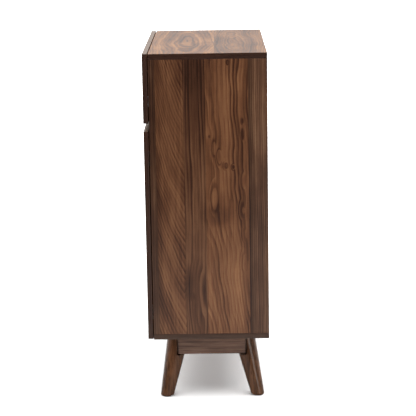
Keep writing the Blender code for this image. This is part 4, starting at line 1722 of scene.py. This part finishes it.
@dataclass
class Drawer:
    """A drawer with its runners: the front, two sides, back, base, runner members and ball cages.

    Attributes:
        side: Which half of the cabinet it is in.
        play: Play of the base in its grooves.
        board_ease: Radius of the edges of its sides and back.
        base_ease: Radius of the edges of its base.
        plate: Thickness of the runner steel.
        bend: Outer radius of a runner's bends.
        cage_plate: Thickness of the cage's strip.
        cage_bend: Outer radius of the strip's bends.
        ball_radius: Radius of a ball.
        balls: Balls in a row.
        pitch: From one ball to the next.
        ball_out: From the back of the cage to the balls' middles.
        screws: From a runner's front end to each of its screws.
        screw_radius: Radius of a screw's head.
        screw_proud: Height of the head.
    """

    side: Side
    play: float = 0.0003
    board_ease: float = 0.0010
    base_ease: float = 0.0005
    plate: float = 0.0012
    bend: float = 0.0022
    cage_plate: float = 0.0008
    cage_bend: float = 0.0016
    ball_radius: float = 0.00195
    balls: int = 5
    pitch: float = 0.018
    ball_out: float = 0.0046
    screws: tuple[float, ...] = (0.037, 0.133, 0.229, 0.315)
    screw_radius: float = 0.0034
    screw_proud: float = 0.0002

    @property
    def body(self) -> str:
        """The body that the drawer moves with."""
        return f"{self.side.word}_drawer"

    def box_boards(self) -> None:
        """Front, sides, back and base, the base held in grooves."""
        word = self.side.word
        low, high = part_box(f"{word}_drawer_base")
        cut = (low.z - self.play, high.z + self.play)
        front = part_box(f"{word}_drawer_front")[1].y
        groove = Groove(*cut, front - low.y + self.play, low.x - self.play, high.x + self.play, True)
        board = Board.of_node(f"{word}_drawer_front", Axis.WIDTH, Axis.DEPTH, groove=groove)
        finishes = (FRONT_VENEER[self.side], EDGE_FRONT, PAINTED_SHEEN_FRONT_ENDS, FRONT_INSIDE[self.side])
        place_board(f"{word}_drawer_face", f"{word}_drawer_front", board, finishes, self.body)
        for flank in Flank:
            node = f"{word}_drawer_{flank.word}_side"
            near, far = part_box(node)
            upper = abs(far.x - high.x) > abs(near.x - low.x)
            depth = far.x - low.x if upper else high.x - near.x
            groove = Groove(*cut, depth + self.play, *THROUGH, upper)
            board = Board.of_node(node, Axis.DEPTH, Axis.WIDTH, groove=groove, ease=self.board_ease)
            place_board(f"{node}_board", node, board, (DRAWER_FOIL,), self.body)
        board = Board.of_node(f"{word}_drawer_back", Axis.HEIGHT, Axis.DEPTH, ease=self.board_ease)
        place_board(f"{word}_drawer_back_board", f"{word}_drawer_back", board, (DRAWER_FOIL,), self.body)
        board = Board.of_node(f"{word}_drawer_base", Axis.DEPTH, Axis.HEIGHT, ease=self.base_ease)
        place_board(f"{word}_drawer_base_sheet", f"{word}_drawer_base", board, (DRAWER_FOIL,), self.body)

    def runner(self, flank: Flank, member: Member, body: str) -> None:
        """One half of a runner: a bent channel and its screws.

        Args:
            flank: Which side of the drawer it is on.
            member: Whether it is screwed to the case or to the drawer.
            body: Body it moves with.
        """
        node = f"{self.side.word}_{flank.word}_{member.word}_runner"
        low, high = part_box(node)
        web_far = (flank is Flank.OUTER) == (member is Member.CASE)
        web, tip = (high.x, low.x) if web_far == (self.side is Side.RIGHT) else (low.x, high.x)
        middle, half = (low.z + high.z) / 2, (high.z - low.z) / 2
        shell = Shell().grid(channel(web, tip, middle, half, (low.y, high.y), self.plate, self.bend))
        way = 1 if tip > web else -1
        for depth in self.screws:
            seat = (web + way * self.plate, low.y + depth, middle)
            shell.grid(screw_head(seat, Axis.WIDTH, way, self.screw_radius, self.screw_proud))
        shell.build(f"{node}_channel", (ZINC,), body, (node,))

    def cage(self, flank: Flank) -> None:
        """A thin U-shaped strip and the two rows of balls that it holds.

        Args:
            flank: Which side of the drawer it is on.
        """
        node = f"{self.side.word}_{flank.word}_ball_cage"
        body = f"{self.side.word}_cages"
        low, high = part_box(node)
        back_far = (flank is Flank.OUTER) == (self.side is Side.RIGHT)
        back, tip = (high.x, low.x) if back_far else (low.x, high.x)
        way = 1 if tip > back else -1
        middle = (low.z + high.z) / 2
        row = (high.z - low.z) / 2 - self.ball_radius
        half, span = row + self.cage_plate / 2, (low.y, high.y)
        strip = channel(back, tip, middle, half, span, self.cage_plate, self.cage_bend)
        Shell().grid(strip).build(f"{node}_strip", (CAGE_METAL,), body, (node,))
        shell = Shell()
        first = (low.y + high.y - (self.balls - 1) * self.pitch) / 2
        for number in range(self.balls):
            for level in (middle - row, middle + row):
                centre = (back + way * self.ball_out, first + number * self.pitch, level)
                shell.grid(ball(centre, self.ball_radius, 16), caps=False)
        shell.build(f"{node}_balls", (BALL_METAL,), body)

    def build(self) -> None:
        """Builds the drawer."""
        self.box_boards()
        word = self.side.word
        SoftDots(f"{word}_drawer_front", self.side, 0.014, 0.030).build(f"{word}_drawer_buffers", self.body)
        for flank in Flank:
            self.runner(flank, Member.CASE, "cabinet")
            self.runner(flank, Member.DRAWER, self.body)
            self.cage(flank)


# ------------------------------------------------------------------------------- doors
@dataclass
class Hinge:
    """A concealed hinge: a pressed cup with its flange and pin, and an arm on a mounting plate.

    Attributes:
        side: Which door it is on.
        rank: Lower or upper.
        radius: Outer radius of the cup.
        wall: Thickness of its wall.
        bend: Radius of the bend round its floor.
        rim: How far its rim stands out where it has no flange.
        flange: How far the flange stands out.
        flange_reach: The flange's inner edge, back from the cup's middle.
        flange_screw: From the hinge's middle up or down to a screw of the flange.
        pivot_in: Pin's middle, from the door's edge.
        pivot_deep: Pin's middle, below the door's inner face.
        pin_radius: Radius of the pin.
        pin_half: Half the pin's length.
        knuckle: Outer and inner radius of the arm's eye.
        knuckle_half: Half its length.
        arm_in: Middle of the arm's long part, from the door's edge.
        arm_nose: Middle of its short part, below the door's inner face.
        arm_bend: Radius of the bend between them.
        plate_screw: From the hinge's middle up or down to a screw of the mounting plate.
    """

    side: Side
    rank: Rank
    radius: float = 0.0175
    wall: float = 0.0008
    bend: float = 0.0020
    rim: float = 0.0007
    flange: float = 0.0010
    flange_reach: float = 0.0015
    flange_screw: float = 0.0203
    pivot_in: float = 0.0069
    pivot_deep: float = 0.0080
    pin_radius: float = 0.0012
    pin_half: float = 0.0092
    knuckle: tuple[float, float] = (0.0020, 0.0014)
    knuckle_half: float = 0.0052
    arm_in: float = 0.0200
    arm_nose: float = 0.0092
    arm_bend: float = 0.0035
    plate_screw: float = 0.0180

    @property
    def node(self) -> str:
        """Start of the names of the hinge's two CAD nodes."""
        return f"{self.side.word}_{self.rank.word}_hinge"

    @property
    def door(self) -> tuple[Vector, Vector]:
        """The door's lowest and highest corners."""
        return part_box(f"{self.side.word}_door")

    @property
    def level(self) -> float:
        """Height of the hinge's middle."""
        low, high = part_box(f"{self.node}_cup")
        return (low.z + high.z) / 2

    def at(self, inward: float, back: float) -> tuple[float, float]:
        """A place beside the door's hinge edge.

        Args:
            inward: From that edge towards the middle of the cabinet.
            back: From the door's inner face towards the back.

        Returns:
            Its X and Y.
        """
        low, high = self.door
        edge = high.x if self.side is Side.RIGHT else -low.x
        return self.side.value * (edge - inward), high.y + back

    def cup(self) -> None:
        """The cup: rings round its middle, drawn out to the flange's rectangle where that lies outside.

        The flange's rim is at min(radius / |cos t|, ear / |sin t|) on the side of the door's edge.
        """
        low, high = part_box(f"{self.node}_cup")
        ear = (high.z - low.z) / 2
        face = self.door[1].y
        depth = face - low.y
        angle = np.linspace(0, 2 * np.pi, 96, endpoint=False)
        cos, sin = np.cos(angle), np.sin(angle)
        rect = np.minimum(self.radius / np.maximum(np.abs(cos), 1e-6), ear / np.maximum(np.abs(sin), 1e-6))
        entered = (cos < 0) & (self.flange_reach / np.maximum(np.abs(cos), 1e-6) < self.radius)
        edge = np.where(entered, np.maximum(rect, self.radius), self.radius)
        top = np.where(edge > self.radius + 1e-5, self.flange, self.rim)
        one = np.ones_like(angle)
        outer, inner = self.radius, self.radius - self.wall
        bottom, floor = -depth, -depth + self.wall
        bend, belly = self.bend, 0.3 * self.bend
        rings = (
            (0 * one, bottom * one), ((outer - bend) * one, bottom * one),
            ((outer - belly) * one, (bottom + belly) * one), (outer * one, (bottom + bend) * one),
            (outer * one, 0.0003 * one), (edge, 0.0003 * one), (edge, top - 0.0002), (edge - 0.0002, top),
            ((inner + 0.0004) * one, top), (inner * one, top - 0.0004), (inner * one, (floor + bend) * one),
            ((inner - belly) * one, (floor + belly) * one), ((inner - bend) * one, floor * one),
            (0 * one, floor * one),
        )
        centre = (low.x + high.x) / 2
        points = np.empty((len(rings), len(angle), 3))
        for row, (radius, level) in zip(points, rings):
            row[:, 0] = centre - self.side.value * radius * cos
            row[:, 1] = face + level
            row[:, 2] = self.level + radius * sin
        shell = Shell().grid(points, caps=False)
        x, y = self.at(self.pivot_in, -self.pivot_deep)
        half, r, blunt = self.pin_half, self.pin_radius, 0.0003
        profile = (
            (0, -half), (r * 0.8, -half), (r, blunt - half), (r, half - blunt), (r * 0.8, half), (0, half),
        )
        shell.grid(lathe(profile, (x, y, self.level), Axis.HEIGHT, 20), caps=False)
        screw_x = centre + self.side.value * (self.radius + self.flange_reach) / 2
        for rise in (-self.flange_screw, self.flange_screw):
            seat = (screw_x, face + self.flange, self.level + rise)
            shell.grid(screw_head(seat, Axis.DEPTH, 1, radius=0.0036, proud=0.0007))
        body = f"{self.side.word}_door_leaf"
        shell.build(f"{self.node}_pressed_cup", (BLACK_NICKEL,), body, (f"{self.node}_cup",))

    def arm_rings(self) -> np.ndarray:
        """A flat strap carried along its bent line, wider where it lies over the mounting plate.

        Each row is centre(s) +- t(s) / 2 along the line's normal and +- w(s) in height.

        Returns:
            Rows of points.
        """
        turn = np.linspace(0, np.pi / 2, 6)
        corner_in = self.arm_in - self.arm_bend + self.arm_bend * np.sin(turn)
        corner_back = -self.arm_nose + self.arm_bend - self.arm_bend * np.cos(turn)
        # Place behind the door, half height and thickness of the long part's rows.
        long_part = np.array((
            (0.0010, 0.0054, 0.0015), (0.0040, 0.0068, 0.0018), (0.0075, 0.0080, 0.0020),
            (0.0300, 0.0080, 0.0020), (0.0560, 0.0080, 0.0020), (0.0572, 0.0072, 0.0020),
            (0.0578, 0.0058, 0.0018),
        ))
        short_rows = 2 + len(turn)
        inward = np.concatenate(([0.00835, 0.0120], corner_in, [self.arm_in] * len(long_part)))
        back = np.concatenate(([-self.arm_nose] * 2, corner_back, long_part[:, 0]))
        half = np.concatenate(([0.0044], [self.knuckle_half] * (short_rows - 1), long_part[:, 1]))
        thick = np.concatenate(([0.0014] * short_rows, long_part[:, 2])) / 2
        slope = np.stack((np.gradient(inward), np.gradient(back)), 1)
        slope /= np.linalg.norm(slope, axis=1, keepdims=True)
        normal = np.stack((-slope[:, 1], slope[:, 0]), 1)
        ease = 0.0003
        ring = (
            (1, 1, 1), (1, 1, 0), (1, -1, 0), (1, -1, 1), (-1, -1, 1), (-1, -1, 0), (-1, 1, 0), (-1, 1, 1),
        )
        points = np.empty((len(inward), len(ring), 3))
        for column, (face, up, eased) in enumerate(ring):
            lift = thick - (0 if eased else ease)
            rise = half - (ease if eased else 0)
            flat = np.stack((inward, back), 1) + face * normal * lift[:, None]
            x, y = self.at(0.0, 0.0)
            points[:, column, 0] = x - self.side.value * flat[:, 0]
            points[:, column, 1] = y + flat[:, 1]
            points[:, column, 2] = self.level + up * rise
        return points

    def slab(self, inward: tuple[float, float], back: tuple[float, float], half: float) -> Board:
        """An eased plate on the side board.

        Args:
            inward: Its two faces, from the door's edge.
            back: Where it starts and stops, from the door's inner face.
            half: Half its height.

        Returns:
            The plate.
        """
        x0, y0 = self.at(inward[0], back[0])
        x1, y1 = self.at(inward[1], back[1])
        low = (min(x0, x1), y0, self.level - half)
        high = (max(x0, x1), y1, self.level + half)
        return Board(low, high, Axis.HEIGHT, Axis.WIDTH, ease=0.0008)

    def arm(self) -> None:
        """The eye round the pin, the arm, the mounting plate with its wings, and their screws."""
        shell = Shell().grid(self.arm_rings())
        x, y = self.at(self.pivot_in, -self.pivot_deep)
        out, bore = self.knuckle
        half = self.knuckle_half
        profile = ((bore, -half), (out, -half), (out, half), (bore, half), (bore, -half))
        shell.grid(lathe(profile, (x, y, self.level), Axis.HEIGHT, 24), caps=False)
        air, wing_top = 0.0003, 0.0025
        wall = abs(self.at(0, 0)[0]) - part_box("right_side_panel")[0].x + air
        self.slab((wall, 0.0189), (0.026, 0.055), half=0.010).surface(shell)
        self.slab((wall + 0.0001, wall + wing_top), (0.035, 0.047), half=0.024).surface(shell)
        way = -self.side.value
        for rise in (-self.plate_screw, self.plate_screw):
            spot = self.at(wall + wing_top, 0.041)
            shell.grid(screw_head((*spot, self.level + rise), Axis.WIDTH, way, radius=0.0040, proud=0.0012))
        for back in (0.033, 0.049):
            spot = self.at(0.0210, back)
            shell.grid(screw_head((*spot, self.level), Axis.WIDTH, way, radius=0.0034, proud=0.0009))
        shell.build(f"{self.node}_bent_arm", (BLACK_NICKEL,), "cabinet", (f"{self.node}_arm",))

    def build(self) -> None:
        """Builds both halves."""
        self.cup()
        self.arm()


@dataclass
class Door:
    """A veneered door, bored for its hinge cups, with two hinges and two soft dots.

    Attributes:
        side: Which half of the cabinet it closes.
        bore_play: Play round and under a cup.
    """

    side: Side
    bore_play: tuple[float, float] = (0.0003, 0.0007)

    @property
    def body(self) -> str:
        """The body that the door moves with."""
        return f"{self.side.word}_door_leaf"

    def leaf(self) -> None:
        """The board with its two bores."""
        word = self.side.word
        low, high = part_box(f"{word}_door")
        pockets = []
        for rank in Rank:
            cup_low, cup_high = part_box(f"{word}_{rank.word}_hinge_cup")
            pockets.append(Pocket(
                across=(cup_low.x + cup_high.x) / 2, along=(cup_low.z + cup_high.z) / 2,
                radius=(cup_high.x - cup_low.x) / 2 + self.bore_play[0],
                depth=high.y - cup_low.y + self.bore_play[1],
            ))
        board = Board.of_node(f"{word}_door", Axis.HEIGHT, Axis.DEPTH, pockets=tuple(pockets))
        finishes = (FRONT_VENEER[self.side], EDGE_FRONT, PAINTED_SHEEN_FRONT_ENDS, FRONT_INSIDE[self.side])
        place_board(f"{word}_door_board", f"{word}_door", board, finishes, self.body)

    def build(self) -> None:
        """Builds the door."""
        word = self.side.word
        self.leaf()
        SoftDots(f"{word}_door", self.side, 0.030, 0.020).build(f"{word}_door_buffers", self.body)
        for rank in Rank:
            Hinge(self.side, rank).build()


# ------------------------------------------------------------------------------- studio
@dataclass
class Studio:
    """Floor, light and camera.

    Attributes:
        eye: Where the camera stands.
        yaw: Camera's turn to the left of -X, in degrees.
        pitch: Its tilt below the horizon, in degrees.
        roll: Its roll, in degrees.
        lens: Focal length in millimetres on a 36 mm sensor.
        floor_half: Half the floor's size.
        sky_low: Brightness of the light tent at the horizon.
        sky_high: Extra brightness overhead.
        screen_at: X of the dark screen that stands beside the camera.
        screen_high: Height of the screen.
        screen_half: Half its width.
        card_at: Where the glowing card stands.
        card_turn: Direction from the cabinet's rear leg to the card, in degrees from +X to +Y.
        card_half: Half the card's width.
        card_low: Height of its lower edge.
        card_high: Height of its upper edge.
        card_glow: How strongly it glows.
    """

    eye: Point = (5.3088, 0.0447, 1.6768)
    yaw: float = 0.474
    pitch: float = 11.843
    roll: float = -0.8996
    lens: float = 133.72
    floor_half: float = 60.0
    sky_low: float = 0.85
    sky_high: float = 4.4
    screen_at: float = 2.2
    screen_high: float = 2.5
    screen_half: float = 4.0
    card_at: tuple[float, float] = (1.47, 1.13)
    card_turn: float = 42.0
    card_half: float = 0.32
    card_low: float = 0.06
    card_high: float = 0.50
    card_glow: float = 11.0

    def camera(self) -> None:
        """The camera: it looks along -X, turned by yaw, tilted by pitch and rolled."""
        yaw, pitch, roll = (math.radians(a) for a in (self.yaw, self.pitch, self.roll))
        ahead = Vector((
            -math.cos(yaw) * math.cos(pitch), -math.sin(yaw) * math.cos(pitch), -math.sin(pitch),
        ))
        right = ahead.cross(Vector((0, 0, 1))).normalized()
        up = right.cross(ahead)
        tilted_right = math.cos(roll) * right + math.sin(roll) * up
        tilted_up = -math.sin(roll) * right + math.cos(roll) * up
        turned = Matrix((tilted_right, tilted_up, -ahead)).transposed()
        data = bpy.data.cameras.new("studio_camera")
        data.lens, data.sensor_width = self.lens, 36.0
        data.clip_start, data.clip_end = 0.05, 400.0
        camera = bpy.data.objects.new("studio_camera", data)
        camera.matrix_world = Matrix.Translation(self.eye) @ turned.to_4x4()
        bpy.context.scene.collection.objects.link(camera)
        bpy.context.scene.camera = camera

    def sheet(self, name: str, corners: Sequence[Point], material: bpy.types.Material) -> bpy.types.Object:
        """A flat staged surface.

        Args:
            name: Its name.
            corners: Its four corners in order.
            material: Its material.

        Returns:
            The surface.
        """
        mesh = bpy.data.meshes.new(name)
        mesh.from_pydata([tuple(corner) for corner in corners], [], [(0, 1, 2, 3)])
        mesh.materials.append(material)
        made = bpy.data.objects.new(name, mesh)
        bpy.context.scene.collection.objects.link(made)
        return made

    def floor(self) -> None:
        """A wide pale floor, faintly uneven in tone."""
        g = Graph("pale_floor")
        tone = g.noise(g.stretch(*g.place(), (1.3, 1.3, 1.3)), detail=2.0)
        colour = g.ramp(tone, ((0.3, (0.88, 0.88, 0.88)), (0.7, (0.90, 0.90, 0.90))))
        g.shader.inputs["Specular IOR Level"].default_value = 0.0
        material = g.finish(colour, 0.9, None, 0.0)
        h = self.floor_half
        self.sheet("floor", ((-h, -h, 0), (h, -h, 0), (h, h, 0), (-h, h, 0)), material)

    def screen(self) -> None:
        """A dark screen off the right side, unseen by the camera, which shades that side towards the top."""
        g = Graph("dark_screen")
        colour = g.ramp(g.noise(g.stretch(*g.place(), (2, 2, 2))), ((0.3, (0.02,) * 3), (0.7, (0.03,) * 3)))
        g.shader.inputs["Specular IOR Level"].default_value = 0.0
        x, h, top = self.screen_at, self.screen_half, self.screen_high
        corners = ((x, -h, 0.002), (x, h, 0.002), (x, h, top), (x, -h, top))
        made = self.sheet("screen", corners, g.finish(colour, 0.9, None, 0.0))
        made.visible_camera = False

    def low_card(self) -> None:
        """A narrow glowing card by the floor, which puts a gleam along the rear leg."""
        material = bpy.data.materials.new("low_card")
        material.use_nodes = True
        shader = material.node_tree.nodes["Principled BSDF"]
        shader.inputs["Base Color"].default_value = (0.0, 0.0, 0.0, 1.0)
        shader.inputs["Emission Color"].default_value = (1.0, 0.96, 0.92, 1.0)
        shader.inputs["Emission Strength"].default_value = self.card_glow
        x, y = self.card_at
        turn = math.radians(self.card_turn)
        aside, ahead = -math.sin(turn) * self.card_half, math.cos(turn) * self.card_half
        ends = ((x - aside, y - ahead), (x + aside, y + ahead))
        corners = [(*ends[i], z) for i, z in ((0, self.card_low), (1, self.card_low),
                                              (1, self.card_high), (0, self.card_high))]
        made = self.sheet("low_card", corners, material)
        made.visible_camera = made.visible_diffuse = made.visible_shadow = False

    def sky(self) -> None:
        """A light tent: brightness = low + high sin^2(elevation), the same all round."""
        world = bpy.data.worlds.new("light_tent")
        bpy.context.scene.world = world
        world.use_nodes = True
        tree = world.node_tree
        background = tree.nodes["Background"]
        split = tree.nodes.new("ShaderNodeSeparateXYZ")
        tree.links.new(tree.nodes.new("ShaderNodeTexCoord").outputs["Generated"], split.inputs[0])
        square = tree.nodes.new("ShaderNodeMath")
        square.operation = "MULTIPLY"
        tree.links.new(split.outputs[2], square.inputs[0])
        tree.links.new(split.outputs[2], square.inputs[1])
        total = tree.nodes.new("ShaderNodeMath")
        total.operation = "MULTIPLY_ADD"
        tree.links.new(square.outputs[0], total.inputs[0])
        total.inputs[1].default_value = self.sky_high
        total.inputs[2].default_value = self.sky_low
        tree.links.new(total.outputs[0], background.inputs["Strength"])
        background.inputs["Color"].default_value = (1.0, 1.0, 1.0, 1.0)

    def build(self) -> None:
        """Builds the studio and sets a plain display curve."""
        self.camera()
        self.floor()
        self.screen()
        self.low_card()
        self.sky()
        view = bpy.context.scene.view_settings
        view.view_transform, view.look = "Standard", "None"
        view.exposure, view.gamma = 0.0, 1.0


def main() -> None:
    """Builds the studio and the cabinet."""
    logging.basicConfig(level=logging.INFO, format="%(name)s: %(message)s")
    Studio().build()
    Case().build()
    Base().build()
    for side in Side:
        Drawer(side).build()
        Door(side).build()


if __name__ == "__main__":
    main()
